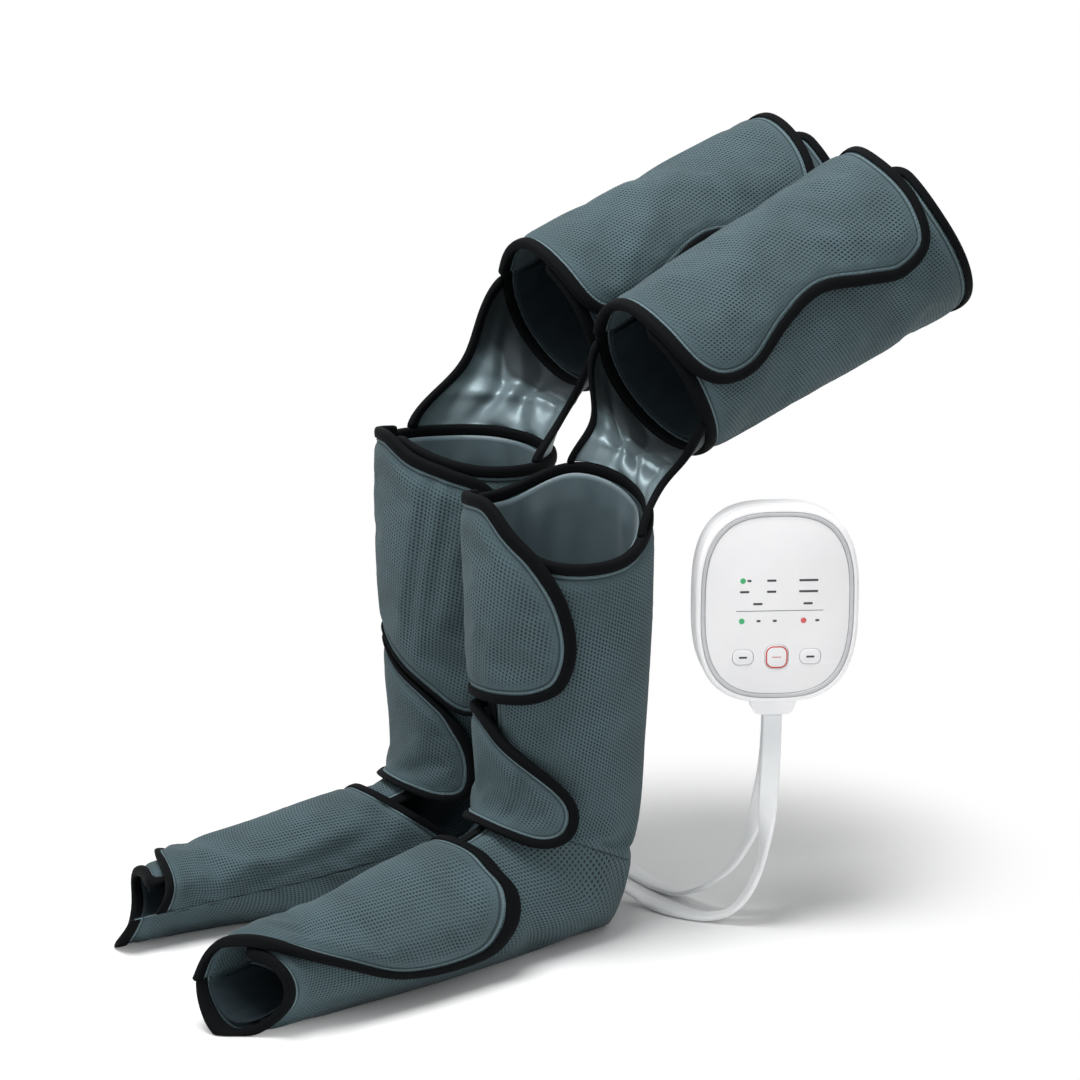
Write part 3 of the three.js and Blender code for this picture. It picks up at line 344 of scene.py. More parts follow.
# %% Air mesh cloth
HOLE_PITCH_ACROSS = 3.6 * MM
HOLE_PITCH_ALONG = 5.0 * MM
HOLE_SLANT = 0.5         # how far the rows of holes turn from the cloth's length
RIDGE_HIGHLIGHT_WIDTH = 1.6 * MM  # width of the painted highlight on the piped ridge beside the tape
GROOVE_SHADE_PLACE = 3.2 * MM  # where painted shade darkens the sewn groove beside the ridge


# Beside the tape the colour carries a painted highlight on the piped ridge and painted shade in the sewn groove.
def make_air_mesh(name, code, fibre, light, hole, painted_highlight):
    material, shader = finish_of(name, code, 0.86, Specular_IOR_Level=0.25, Sheen_Weight=0.04,
                                 Sheen_Roughness=0.5)
    g = Graph(material)
    uv = g.uv()
    x, y, _ = g.split(g.place(uv, turn=HOLE_SLANT))
    across = g.math("COSINE", g.math("MULTIPLY", x, 2 * math.pi / HOLE_PITCH_ACROSS))
    along = g.math("COSINE", g.math("MULTIPLY", y, 2 * math.pi / HOLE_PITCH_ALONG))
    holes = g.spread(g.math("MULTIPLY", across, along), 0.02, 0.62)
    cloudy = g.noise(uv, 14.0, 3.0)
    fibres = g.noise(uv, 1400.0, 2.0, 0.7)
    worn = g.mix(g.spread(cloudy, 0.3, 0.7), colour(code), colour(light))
    body = g.mix(g.math("MULTIPLY", g.spread(fibres, 0.3, 0.75), 0.3), worn, colour(fibre))
    edge = g.add("ShaderNodeAttribute", attribute_name="to_tape").outputs["Fac"]
    strength = g.math("MULTIPLY", holes, g.spread(g.noise(uv, 30.0, 2.0), 0.25, 0.7, 0.7, 1.0))
    strength = g.math("MULTIPLY", strength, g.spread(edge, 3.0 * MM, 14.0 * MM, 0.1, 1.0))
    # Painted highlight: a pale band along the piped ridge beside the tape.
    highlight_band = g.math("MULTIPLY", g.spread(edge, RIDGE_HIGHLIGHT_WIDTH, RIDGE_HIGHLIGHT_WIDTH + 0.8 * MM, 1.0, 0.0), 0.75)
    # Painted shade: the sewn groove beside the ridge is darkened with the holes' colour.
    from_groove = g.math("ABSOLUTE", g.math("SUBTRACT", edge, GROOVE_SHADE_PLACE))
    groove = g.spread(from_groove, 0.2 * MM, 1.1 * MM, 0.65, 0)
    body = g.mix(highlight_band, body, colour(painted_highlight))
    body = g.mix(groove, body, colour(hole))
    g.feed(shader.inputs["Base Color"], g.mix(strength, body, colour(hole)))
    g.feed(shader.inputs["Roughness"], g.spread(cloudy, 0.2, 0.8, 0.78, 0.92))
    height = g.math("SUBTRACT", g.math("MULTIPLY", fibres, 0.25), holes)
    g.feed(shader.inputs["Normal"], g.bump(height, 0.4 * MM, 0.7))
    return material


AIR_MESH = make_air_mesh("air_mesh", "425459", "303e42", "4f6369", "12181b", "6a7f85")
print("air mesh cloth ready")

# %% [markdown]
# ### Satin, tape and air cell
# The knee panel is satin, smooth and shiny with soft folds. The inside of the cuffs is a darker
# twill, whose fine diagonal ribs show when light rakes over them. The tape that binds every edge
# is black, finely ribbed across its length, with a row of stitches near its inner edge.

# %% Satin
SATIN_DARK_FROM = 0.05   # height on the knee panel, in metres, from which it turns darker and matt
SATIN_DARK_WAVE = 0.045  # how far that line waves up and down


def make_satin(name, deep, pale, roughness, metallic, dark_from=0.0):
    material, shader = finish_of(name, deep, roughness, Metallic=metallic, Sheen_Weight=0.1)
    g = Graph(material)
    uv = g.uv()
    threads = g.add("ShaderNodeTexWave", wave_type="BANDS", bands_direction="DIAGONAL")
    g.feed(threads.inputs["Vector"], uv)
    threads.inputs["Scale"].default_value = 700.0
    cloudy = g.noise(uv, 25.0, 2.0)
    body = g.mix(cloudy, colour(deep), colour(pale))
    matt = g.spread(cloudy, 0.3, 0.7, roughness, roughness + 0.1)
    if dark_from:
        # Above a wavy line the panel turns darker and matt.
        _, height_on_panel, _ = g.split(uv)
        wavy = g.math("MULTIPLY", g.math("SUBTRACT", g.noise(uv, 22.0, 2.0), 0.5), SATIN_DARK_WAVE)
        dark = g.spread(g.math("ADD", height_on_panel, wavy), dark_from, dark_from + 0.012)
        body = g.mix(dark, body, colour("232e32"))
        matt = g.math("ADD", g.math("MULTIPLY", dark, 0.3), roughness)
    g.feed(shader.inputs["Base Color"], body)
    g.feed(shader.inputs["Roughness"], matt)
    height = g.math("ADD", g.math("MULTIPLY", threads.outputs["Fac"], 0.08), g.noise(uv, 40.0, 1.0))
    g.feed(shader.inputs["Normal"], g.bump(height, 0.8 * MM, 0.5))
    return material


SATIN = make_satin("knee_satin", "526268", "76898e", 0.36, 0.3, SATIN_DARK_FROM)
INNER_SATIN = make_satin("inner_satin", "435359", "55686e", 0.42, 0.1)
print("two satins ready")


# %% Lining twill
def make_twill():
    material, shader = finish_of("lining_twill", "1f292d", 0.85, Specular_IOR_Level=0.12)
    g = Graph(material)
    uv = g.uv()
    ribs = g.add("ShaderNodeTexWave", wave_type="BANDS", bands_direction="X")
    g.feed(ribs.inputs["Vector"], g.place(uv, turn=0.6))
    ribs.inputs["Scale"].default_value = 110.0
    ribs.inputs["Distortion"].default_value = 0.4
    cloudy = g.noise(uv, 18.0, 3.0)
    body = g.mix(cloudy, colour("1c2529"), colour("28343a"))
    ribbed = g.mix(g.math("MULTIPLY", ribs.outputs["Fac"], 0.5), body, colour("11181b"))
    g.feed(shader.inputs["Base Color"], ribbed)
    g.feed(shader.inputs["Normal"], g.bump(ribs.outputs["Fac"], 0.15 * MM, 0.5))
    return material


TWILL = make_twill()
print("twill ready")

# %% Binding tape with its stitches
RIB_PITCH = 0.9 * MM
STITCH_PITCH = 3.4 * MM
STITCH_ROW = 6.9 * MM    # from the tape's outer edge


def make_tape():
    material, shader = finish_of("binding_tape", "040607", 0.82, Specular_IOR_Level=0.08)
    g = Graph(material)
    uv = g.uv()
    x, y, _ = g.split(uv)
    ribs = g.math("SINE", g.math("MULTIPLY", x, 2 * math.pi / RIB_PITCH))
    on_row = g.spread(g.math("ABSOLUTE", g.math("SUBTRACT", y, STITCH_ROW)), 0.2 * MM, 0.5 * MM, 1, 0)
    stitch = g.spread(g.math("SINE", g.math("MULTIPLY", x, 2 * math.pi / STITCH_PITCH)), -0.2, 0.2)
    thread = g.math("MULTIPLY", on_row, stitch)
    worn = g.mix(g.noise(uv, 60.0, 2.0), colour("030405"), colour("070a0c"))
    g.feed(shader.inputs["Base Color"], g.mix(g.math("MULTIPLY", thread, 0.5), worn, colour("0f1416")))
    height = g.math("ADD", g.math("MULTIPLY", ribs, 0.15), thread)
    g.feed(shader.inputs["Normal"], g.bump(height, 0.15 * MM, 0.5))
    return material


TAPE = make_tape()
print("tape ready")


# %% Air cell film
def make_bladder():
    material, shader = finish_of("air_cell_film", "6a7376", 0.5, Coat_Weight=0.1)
    g = Graph(material)
    grain = g.noise(g.uv(), 500.0, 2.0)
    g.feed(shader.inputs["Roughness"], g.spread(grain, 0.3, 0.7, 0.4, 0.6))
    g.feed(shader.inputs["Normal"], g.bump(grain, 0.1 * MM, 0.3))
    return material


BLADDER = make_bladder()
print("air cell film ready")

# %% [markdown]
# ### Moulded plastic, silicone and hose
# The handset is white ABS with a very fine spark-eroded grain, its face panel a glossier sheet, its
# ring a cool grey. Object coordinates carry the grain, so it has one size on every piece.


# %% Hard finishes
def make_plastic(name, code, tint, rough_low, rough_high, grain_size, depth, **sockets):
    material, shader = finish_of(name, code, rough_low, **sockets)
    g = Graph(material)
    place = g.object()
    handled = g.noise(place, 18.0, 3.0)
    grain = g.noise(place, 1.0 / (grain_size * MM), 2.0)
    g.feed(shader.inputs["Base Color"], g.mix(g.spread(handled, 0.35, 0.75), colour(code), colour(tint)))
    g.feed(shader.inputs["Roughness"], g.spread(handled, 0.3, 0.7, rough_low, rough_high))
    g.feed(shader.inputs["Normal"], g.bump(grain, depth * MM, 0.25))
    return material


SHELL = make_plastic("white_shell", "f6f6f7", "f0f0f2", 0.34, 0.42, 0.5, 0.03)
FACE = make_plastic("face_gloss", "eeeeef", "eaeaec", 0.16, 0.22, 2.0, 0.01, Coat_Weight=0.3)
RING = make_plastic("grey_ring", "c4c6c9", "b9bbbf", 0.24, 0.32, 0.6, 0.02, Coat_Weight=0.2)
KEY = make_plastic("key_silicone", "eeeeef", "e9e9eb", 0.4, 0.5, 0.8, 0.03)
RUBBER = make_plastic("grey_rubber", "b4b8bb", "a5a9ac", 0.7, 0.82, 0.7, 0.06)
BOARD = make_plastic("board_green", "1f5a3a", "1a4d32", 0.45, 0.6, 1.5, 0.05)
METAL = make_plastic("brushed_metal", "b4b8bb", "a3a7aa", 0.28, 0.4, 0.9, 0.02, Metallic=0.9)
HOSE = make_plastic("hose_white", "eeeff0", "e4e6e8", 0.42, 0.52, 1.2, 0.04, Subsurface_Weight=0.05)
MARK_GREY = make_plastic("mark_grey", "3a3c3f", "323437", 0.4, 0.5, 0.8, 0.01)
MARK_RED = make_plastic("mark_red", "c92f22", "b8281c", 0.35, 0.45, 0.8, 0.01)
LAMP_GREEN = make_plastic("lamp_green", "3fb374", "35a266", 0.3, 0.4, 0.8, 0.01)
LAMP_RED = make_plastic("lamp_red", "d45a5a", "c44c4c", 0.3, 0.4, 0.8, 0.01)
print("hard finishes ready")

# %% [markdown]
# ## The legs' surfaces
# A worn wrap follows the limb inside it. Two surfaces carry every layer of cloth: the boot, a stack
# of rings from the calf's top down and forward to the toes, and the thigh, a short cone. A place on
# the cloth is an angle round the limb, a run along it, and a lift off the surface, in millimetres.


# %% Smooth curves through knots
def knot_curve(knots):
    places = [float(k[0]) for k in knots]
    values = [np.array(k[1], float) for k in knots]
    last = len(knots) - 1
    slope = []
    for i in range(last + 1):
        a, b = max(i - 1, 0), min(i + 1, last)
        slope.append((values[b] - values[a]) / (places[b] - places[a]))

    def curve(at):
        i = 0
        while i < last - 1 and at > places[i + 1]:
            i += 1
        span = places[i + 1] - places[i]
        x = (at - places[i]) / span
        if x < 0:
            return values[i] + slope[i] * x * span
        if x > 1:
            return values[i + 1] + slope[i + 1] * (x - 1) * span
        rise = (3 - 2 * x) * x * x
        out = x * (1 - x) * (1 - x) * span
        arrive = x * x * (x - 1) * span
        return values[i] + (values[i + 1] - values[i]) * rise + slope[i] * out + slope[i + 1] * arrive

    return curve


def smoothstep(x, low, high):
    t = min(max((x - low) / (high - low), 0.0), 1.0)
    return t * t * (3 - 2 * t)


# %% The boot's rings: run, then front y and z, back y and z, and half width
SOLE_DIP = 4
LOWEST = 0.3                    # above the floor
TOE_PINCH = 0.6                 # how far the empty toe end draws in towards its sole
PINCH_FROM, PINCH_TO = 495, 658


def boot_ring(instep):
    return knot_curve([
        (0, (-65, 412, 77, 412, 72)),
        (128, (-66, 284, 78, 284, 73)),
        (244, (-59, 174, 72, 162, 65)),
        (322, (-60, 116 * instep, 67, 64, 59)),
        (362, (-88, 100 * instep, 40, -SOLE_DIP, 54)),
        (455, (-165, 85 * instep, -70, -SOLE_DIP, 49)),
        (566, (-252, 70 * instep, -205, -SOLE_DIP, 46)),
        (658, (-308, 62 * instep, -330, -SOLE_DIP, 48)),
    ])


def boot_surface(leg):
    turn = math.radians(leg["toe_out"])
    ring = boot_ring(leg["instep"])

    def surface(angle, run, lift):
        front_y, front_z, back_y, back_z, half_width = ring(run)
        pinch = TOE_PINCH * smoothstep(run, PINCH_FROM, PINCH_TO)
        narrow = 1 - pinch * (1 - math.cos(math.radians(angle))) / 2
        reach = math.hypot(back_y - front_y, back_z - front_z) / 2
        down = -math.cos(math.radians(angle)) * (reach + lift) / reach
        sole_z = max(back_z, -SOLE_DIP)
        x = (half_width + lift) * math.sin(math.radians(angle)) * narrow
        y = (front_y + back_y) / 2 + (back_y - front_y) / 2 * down
        z = (front_z + sole_z) / 2 + (sole_z - front_z) / 2 * down
        return Vector((
            leg["x"] + x * math.cos(turn) - y * math.sin(turn),
            leg["y"] + x * math.sin(turn) + y * math.cos(turn),
            max(z, LOWEST),
        )) * MM

    return surface


print("the calf's top is", round(2 * float(boot_ring(1.0)(0)[4])), "mm wide")


# %% The thigh's cone
THIGH_LENGTH = 285
THIGH_KNEE_RADIUS = 68
THIGH_HIP_RADIUS = 79
THIGH_SETBACK = 92


def thigh_surface(leg):
    pitch = math.radians(leg["thigh_pitch"])
    along = Vector((0, math.cos(pitch), math.sin(pitch)))
    up = Vector((0, -math.sin(pitch), math.cos(pitch)))
    start = Vector((leg["thigh_x"], leg["y"] + THIGH_SETBACK, leg["thigh_height"]))

    def surface(angle, run, lift):
        radius = THIGH_KNEE_RADIUS + (THIGH_HIP_RADIUS - THIGH_KNEE_RADIUS) * run / THIGH_LENGTH + lift
        bend = math.radians(angle)
        side = Vector((radius * math.sin(bend), 0, 0))
        return (start + along * run + up * (radius * math.cos(bend)) + side) * MM

    return surface


print("thigh cone is", THIGH_LENGTH, "mm long")


# %% [markdown]
# ## The two legs
# The outlines are drawn on the flat cloth as an angle and a run. The near leg is the left one. Its
# toes turn out a little, and its thigh rises steeper than the other.

# %% Outlines of the cloth
CALF_CLOSURE = (-45, -10)
THIGH_CLOSURE = (-50, 24)
ANKLE_SEAM = 330
LIMB_RADIUS = {"calf": 72, "foot": 49, "thigh": 79}
DEGREE = {part: math.radians(1) * radius for part, radius in LIMB_RADIUS.items()}  # mm to a degree

# A rim is a row of (angle, run) knots. A flap is its root's top and low end, the knots of its free
# edge, and where it lies beside another flap, the shares of that edge between which its tape is slim.
LEGS = [
    {
        "name": "left", "x": 82, "y": 0, "toe_out": 10, "instep": 1.0,
        "thigh_x": 87, "thigh_pitch": 23, "thigh_height": 446,
        "calf_rim": [(10, 70), (40, 88), (90, 88), (120, 72), (150, 54), (215, 36), (270, 55), (320, 50)],
        "knee_rim": [(20, -14), (90, -10), (150, 0), (210, 0), (270, -6), (320, -10)],
        "hip_rim": [(20, 266), (70, 263), (150, 284), (210, 284), (320, 270)],
        "toe_rim": [(-30, 672), (10, 650), (90, 636), (150, 648), (200, 660), (285, 672)],
        "foot_closure": (-75, -10),
        "panel_calf": (112, 222),
        "panel_thigh": (114, 300),
        "bend": ((0.082, 0.080, 0.366), (0.082, 0.1085, 0.3945)),
        "upper_calf_flap": ((46, 210), [
            (-20, 42), (2, 44), (20, 66), (36, 86), (50, 117), (56, 155), (50, 187), (34, 202),
            (10, 208), (-20, 210),
        ]),
        "lower_calf_flap": ((218, 343), [
            (-14, 219), (14, 245), (41, 270), (56, 290), (61, 310), (58, 332), (44, 346),
            (20, 349), (-15, 346),
        ]),
        "foot_flap": ((388, 676), [
            (-20, 376), (20, 375), (44, 386), (66, 400), (96, 440), (112, 480), (104, 540),
            (70, 582), (24, 636), (-20, 668),
        ]),
        "thigh_flap": ((-12, 268), [
            (0, -12), (40, -13), (70, -8), (88, 12), (91, 45), (78, 86), (72, 125), (82, 168),
            (88, 200), (80, 232), (56, 245), (20, 250), (-20, 262),
        ]),
    },
    {
        "name": "right", "x": -80, "y": 12, "toe_out": 0, "instep": 0.88,
        "thigh_x": -85, "thigh_pitch": 19, "thigh_height": 476,
        "calf_rim": [(10, 24), (60, 40), (110, 43), (150, 40), (215, 32), (270, 30), (320, 26)],
        "knee_rim": [(20, -14), (90, -10), (150, 0), (210, 0), (270, -6), (320, -10)],
        "hip_rim": [(20, 276), (70, 274), (150, 284), (210, 284), (320, 276)],
        "toe_rim": [(40, 662), (-10, 648), (-90, 640), (-150, 650), (-200, 662), (-280, 672)],
        "foot_closure": (80, 30),
        "panel_calf": (110, 290),
        "panel_thigh": (112, 304),
        "bend": ((-0.080, 0.090, 0.377), (-0.080, 0.126, 0.413)),
        "upper_calf_flap": ((22, 188), [
            (-20, 18), (0, 19), (22, 32), (46, 42), (70, 56), (84, 92), (88, 150), (84, 208), (76, 240),
            (60, 256), (46, 254), (28, 239), (6, 222), (-22, 199),
        ], (0.6, 2)),
        "lower_calf_flap": ((192, 343), [
            (-22, 204), (6, 226), (28, 242), (52, 268), (62, 296), (62, 328), (46, 343),
            (20, 346), (-15, 345),
        ], (-1, 0.34)),
        "foot_flap": ((368, 648), [
            (56, 366), (30, 365), (4, 366), (-24, 370), (-50, 384), (-76, 410), (-98, 450), (-106, 490),
            (-98, 540), (-66, 582), (-24, 616), (10, 632), (46, 642),
        ]),
        "thigh_flap": ((-12, 272), [
            (0, -12), (40, -13), (70, -8), (86, 12), (88, 45), (76, 86), (70, 125), (80, 168),
            (85, 200), (78, 232), (56, 250), (20, 262), (-20, 268),
        ]),
    },
]


def rim_line(knots):
    curve = knot_curve([(angle, (run,)) for angle, run in sorted(knots)])
    return lambda angle: float(curve(angle)[0])


print("outlines for the", " and ".join(leg["name"] for leg in LEGS), "leg")


# %% [markdown]
# ## Cords first: the two flat hoses
# Each hose leaves the gland straight down, sags, turns a quarter round as it bends, and lies flat on
# the floor up to the heel. A Catmull-Rom curve runs through the route's points, and a flat section
# with rounded sides is swept along it. The route is the CAD hose's own, in millimetres.

# %% Hose routes
HANDSET_PLACE = Vector((175, 148, 276))
HANDSET_TURN = math.radians(62)
ACROSS = Vector((math.cos(HANDSET_TURN), math.sin(HANDSET_TURN), 0))
OUTWARD = Vector((math.sin(HANDSET_TURN), -math.cos(HANDSET_TURN), 0))
UPRIGHT = Vector((0, 0, 1))
HOSE_WIDTH = 16
HOSE_THICKNESS = 4
HOSE_GAP = 0.3           # under the gland
GLAND_MIDDLE = -6
GLAND_BOTTOM = -92.8
HOSE_LEAD = 12
HOSE_LIES_FROM, HOSE_LIES_AT = 0.45, 0.95   # slope of the run between which it turns flat
HOSE_RINGS = 120
HOSE_PATH_POINTS = 40
SIDE_CORNERS = 8         # steps round each of the section's two sides

HOSES = [
    {
        "name": "left", "gap": 3.25, "turn": (0.15, 0.42), "route": [
            (173.4, 147.8, 140), (175.2, 145, 108), (174, 143.4, 76), (166.7, 143.6, 50),
            (158, 137.2, 26), (145.5, 128.5, 9), (131.9, 118.1, 2.8), (114.5, 105.4, 2.6),
            (96, 98.2, 2.6), (79, 94, 4),
        ],
        "port": [(61.459, 70.422, 20.0), (63.543, 58.605, 20.0)],
    },
    {
        "name": "right", "gap": -3.25, "turn": (0.12, 0.3), "route": [
            (165.4, 151.6, 142), (161, 148.8, 108), (156.6, 142.4, 78), (143, 136, 50),
            (121, 128, 27), (87, 127, 8), (52, 125, 2.6), (0, 126, 2.6), (-48, 126, 2.6),
            (-75, 119, 3), (-88, 106, 6),
        ],
        "port": [(-88.0, 85.160, 20.0), (-88.0, 73.160, 20.0)],
    },
]
print(len(HOSES), "hose routes")


# %% Centripetal Catmull-Rom curve, sampled evenly by length
SPAN_STEPS = 60


def catmull_rom(points):
    p = [np.array(q, float) for q in points]
    p = [2 * p[0] - p[1], *p, 2 * p[-1] - p[-2]]
    line = []
    for i in range(1, len(p) - 2):
        knots = [0.0]
        for a, b in zip(p[i - 1:i + 2], p[i:i + 3]):
            knots.append(knots[-1] + max(np.linalg.norm(b - a), 1e-6) ** 0.5)
        t0, t1, t2, t3 = knots
        for t in np.linspace(t1, t2, SPAN_STEPS, endpoint=False):
            a1 = (t1 - t) / (t1 - t0) * p[i - 1] + (t - t0) / (t1 - t0) * p[i]
            a2 = (t2 - t) / (t2 - t1) * p[i] + (t - t1) / (t2 - t1) * p[i + 1]
            a3 = (t3 - t) / (t3 - t2) * p[i + 1] + (t - t2) / (t3 - t2) * p[i + 2]
            b1 = (t2 - t) / (t2 - t0) * a1 + (t - t0) / (t2 - t0) * a2
            b2 = (t3 - t) / (t3 - t1) * a2 + (t - t1) / (t3 - t1) * a3
            line.append((t2 - t) / (t2 - t1) * b1 + (t - t1) / (t2 - t1) * b2)
    line.append(p[-2])
    return np.array(line)


def even_points(line, count):
    steps = np.linalg.norm(np.diff(line, axis=0), axis=1)
    length = np.concatenate([[0], np.cumsum(steps)])
    wanted = np.linspace(0, length[-1], count)
    return np.stack([np.interp(wanted, length, line[:, k]) for k in range(line.shape[1])], axis=1)


# %% [markdown]
# A piece's mesh is made from its points and faces. Its UV map is in metres on the cloth, and its
# normals are turned outwards at the end.


# %% Mesh from points and faces
def mesh_piece(name, points, faces, flat, material):
    mesh = bpy.data.meshes.new(name)
    mesh.from_pydata([tuple(p) for p in points], [], faces)
    layer = mesh.uv_layers.new(name="cloth")
    for loop in mesh.loops:
        layer.data[loop.index].uv = flat[loop.vertex_index]
    mesh.polygons.foreach_set("use_smooth", [True] * len(mesh.polygons))
    piece = bpy.data.objects.new(name, mesh)
    bpy.context.scene.collection.objects.link(piece)
    shape = bmesh.new()
    shape.from_mesh(mesh)
    bmesh.ops.recalc_face_normals(shape, faces=shape.faces)
    shape.to_mesh(mesh)
    shape.free()
    mesh.materials.append(material)
    return piece


def tube_faces(rings, around):
    """Quads between rings of points, with a cap on each end."""
    faces = []
    for i in range(rings - 1):
        n = i + 1
        for k in range(around):
            m = (k + 1) % around
            faces.append((i * around + k, i * around + m, n * around + m, n * around + k))
    faces.append(tuple(range(around)))
    faces.append(tuple((rings - 1) * around + k for k in reversed(range(around))))
    return faces


# %% Section of a hose
def hose_section():
    """Half round sides, flat faces: (across, up) in millimetres."""
    section = []
    corner = HOSE_THICKNESS / 2
    middle = HOSE_WIDTH / 2 - corner
    for across, first in ((middle, -math.pi / 2), (-middle, math.pi / 2)):
        for k in range(SIDE_CORNERS + 1):
            bend = first + math.pi * k / SIDE_CORNERS
            section.append((across + corner * math.cos(bend), corner * math.sin(bend)))
    return section


print("hose section has", len(hose_section()), "points")


# %% Flat hoses
def make_hose(hose):
    mouth = HANDSET_PLACE + OUTWARD * (GLAND_MIDDLE + hose["gap"]) + UPRIGHT * (GLAND_BOTTOM - HOSE_GAP)
    lead = mouth - UPRIGHT * HOSE_LEAD
    knots = [tuple(mouth), tuple(lead), *hose["route"], *hose["port"]]
    line = even_points(catmull_rom(knots), HOSE_RINGS)
    length = float(np.linalg.norm(np.diff(line, axis=0), axis=1).sum())
    points, flat = [], []
    section = hose_section()
    for i, place in enumerate(line):
        before, after = line[max(i - 1, 0)], line[min(i + 1, len(line) - 1)]
        tangent = Vector(after - before).normalized()
        turned = smoothstep(i / (len(line) - 1), *hose["turn"])
        hanging = Matrix.Rotation(-math.pi / 2 * turned, 3, "Z") @ ACROSS
        hanging = (hanging - tangent * hanging.dot(tangent)).normalized()
        lying = UPRIGHT.cross(tangent)
        level = math.hypot(tangent.x, tangent.y)
        side = hanging.lerp(lying, smoothstep(level, HOSE_LIES_FROM, HOSE_LIES_AT))
        side = (side - tangent * side.dot(tangent)).normalized()
        rise = tangent.cross(side)
        for x, y in section:
            points.append((Vector(place) + side * x + rise * y) * MM)
            flat.append((i / (len(line) - 1) * length * MM, (x + y) * MM))
    faces = tube_faces(len(line), len(section))
    piece = mesh_piece(hose["name"] + "_flat_hose", points, faces, flat, HOSE)
    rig.ride(piece, "wraps")
    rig.replaces(piece, hose["name"] + "_hose")
    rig.slot(piece, "hose")
    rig.cord(
        piece, exit=tuple(mouth * MM), length=round(length * MM, 3), diameter=HOSE_WIDTH * MM,
        far_end="object", stiffness="medium", lay="hanging",
        path=[tuple(p * MM) for p in even_points(line, HOSE_PATH_POINTS)],
    )
    print(piece.name, "is", round(length), "mm long")


for hose in HOSES:
    make_hose(hose)

# %% [markdown]
# ## Padded cloth
# Each part of a wrap is a pad: mesh cloth outside, foam inside, sewn flat under the tape along its
# edges. The pad is full in the middle and drops to the tape over a finger's width. Its grid is finer
# near the edges, where the shape changes most. Cloth that is only worn in the photograph, never
# flat, is built straight in that shape.

# %% Layers of the wrap, as lifts off the limb's surface
SLEEVE = (-7.0, 0.0)
CELL = (-10.5, -7.3)
LINING = (-12.3, -10.8)
FLAP = (2.6, 9.6)
TAPE_WIDTH = 9.0
TUCK = 4          # how far the cloth reaches in under its tape
SOFT_EDGE = 15    # width over which a pad drops to its tape
print("pads are", SLEEVE[1] - SLEEVE[0], "mm thick")

# %% Grid steps that are fine at the edges
EDGE_STEPS = [0, 1.3, 2.6, 3.8, 4.8, 5.8, 6.9, 8.1, 9.6, 12, 15]


def edge_fine_shares(length, step):
    """Shares from 0 to 1 over a length in millimetres, fine at both ends and even between."""
    reach = EDGE_STEPS[-1]
    middle = max(int((length - 2 * reach) / step), 2)
    start = [d / length for d in EDGE_STEPS]
    between = [(reach + (length - 2 * reach) * i / middle) / length for i in range(1, middle)]
    return start + between + [1 - share for share in reversed(start)]


# %% Height of a pad near its tape
EDGE_DROP = 2.3
EDGE_LIFT = 1.2   # how far the inner face rises to meet the tape
PIPING = (1.5, 1.0, 0.75)       # place from the tape, width and height of the ridge
SEWN_GROOVE = (3.8, 1.1, 0.75)


def bell(at, place, width, height):
    return height * math.exp(-((at - place) / width) ** 2)


def pad_lift(distance, top, bottom):
    """Outer and inner lift of a pad at a distance from its tape: a piped ridge and a sewn groove."""
    full = 1 - (1 - min(max(distance / SOFT_EDGE, 0), 1)) ** 2.2
    outer = top - EDGE_DROP * (1 - full) + bell(distance, *PIPING) - bell(distance, *SEWN_GROOVE)
    inner = bottom + EDGE_LIFT * (1 - full)
    return outer, inner


print("outer lift at the tape, in the groove and inside:",
      [round(pad_lift(d, SLEEVE[1], SLEEVE[0])[0], 2) for d in (0, SEWN_GROOVE[0], SOFT_EDGE)])


# %% Faces of a closed sheet
def sheet_faces(columns, rows):
    """Faces of a closed sheet whose two layers are grids, outer layer first."""
    at = lambda layer, i, j: layer * columns * rows + i * rows + j
    faces = []
    for i in range(columns - 1):
        for j in range(rows - 1):
            faces.append((at(0, i, j), at(0, i + 1, j), at(0, i + 1, j + 1), at(0, i, j + 1)))
            faces.append((at(1, i, j), at(1, i, j + 1), at(1, i + 1, j + 1), at(1, i + 1, j)))
    for i in range(columns - 1):
        faces.append((at(0, i, 0), at(1, i, 0), at(1, i + 1, 0), at(0, i + 1, 0)))
        faces.append((at(0, i, rows - 1), at(0, i + 1, rows - 1), at(1, i + 1, rows - 1),
                      at(1, i, rows - 1)))
    for j in range(rows - 1):
        faces.append((at(0, 0, j), at(0, 0, j + 1), at(1, 0, j + 1), at(1, 0, j)))
        faces.append((at(0, columns - 1, j), at(1, columns - 1, j), at(1, columns - 1, j + 1),
                      at(0, columns - 1, j + 1)))
    return faces


# %% Splines on the flat cloth
def spline_edge(knots, count):
    """A uniform Catmull-Rom spline through the knots, sampled evenly on the pattern."""
    p = [np.array(k, float) for k in knots]
    line = []
    last = len(p) - 1
    for i in range(last):
        a, b, c, d = p[max(i - 1, 0)], p[i], p[i + 1], p[min(i + 2, last)]
        for t in np.linspace(0, 1, 40, endpoint=False):
            v0, v1 = (c - a) * 0.5, (d - b) * 0.5
            cubic, square = 2 * b - 2 * c + v0 + v1, -3 * b + 3 * c - 2 * v0 - v1
            line.append(cubic * t ** 3 + square * t * t + v0 * t + b)
    line.append(p[-1])
    return even_points(np.array(line), count)


# %% [markdown]
# ### Folds and swelling
# The worn cloth has a few long folds, where it turns from one part of the leg to the next. Each is
# a line on the flat cloth with a groove along it and a low ridge on both sides. Then the pad's outer
# face is let go as cloth under a little air pressure, held at its tape and its inside, so that it
# swells and settles as foam-backed fabric does. How far a point may move is kept small, because the
# flaps lie close over the sleeves.

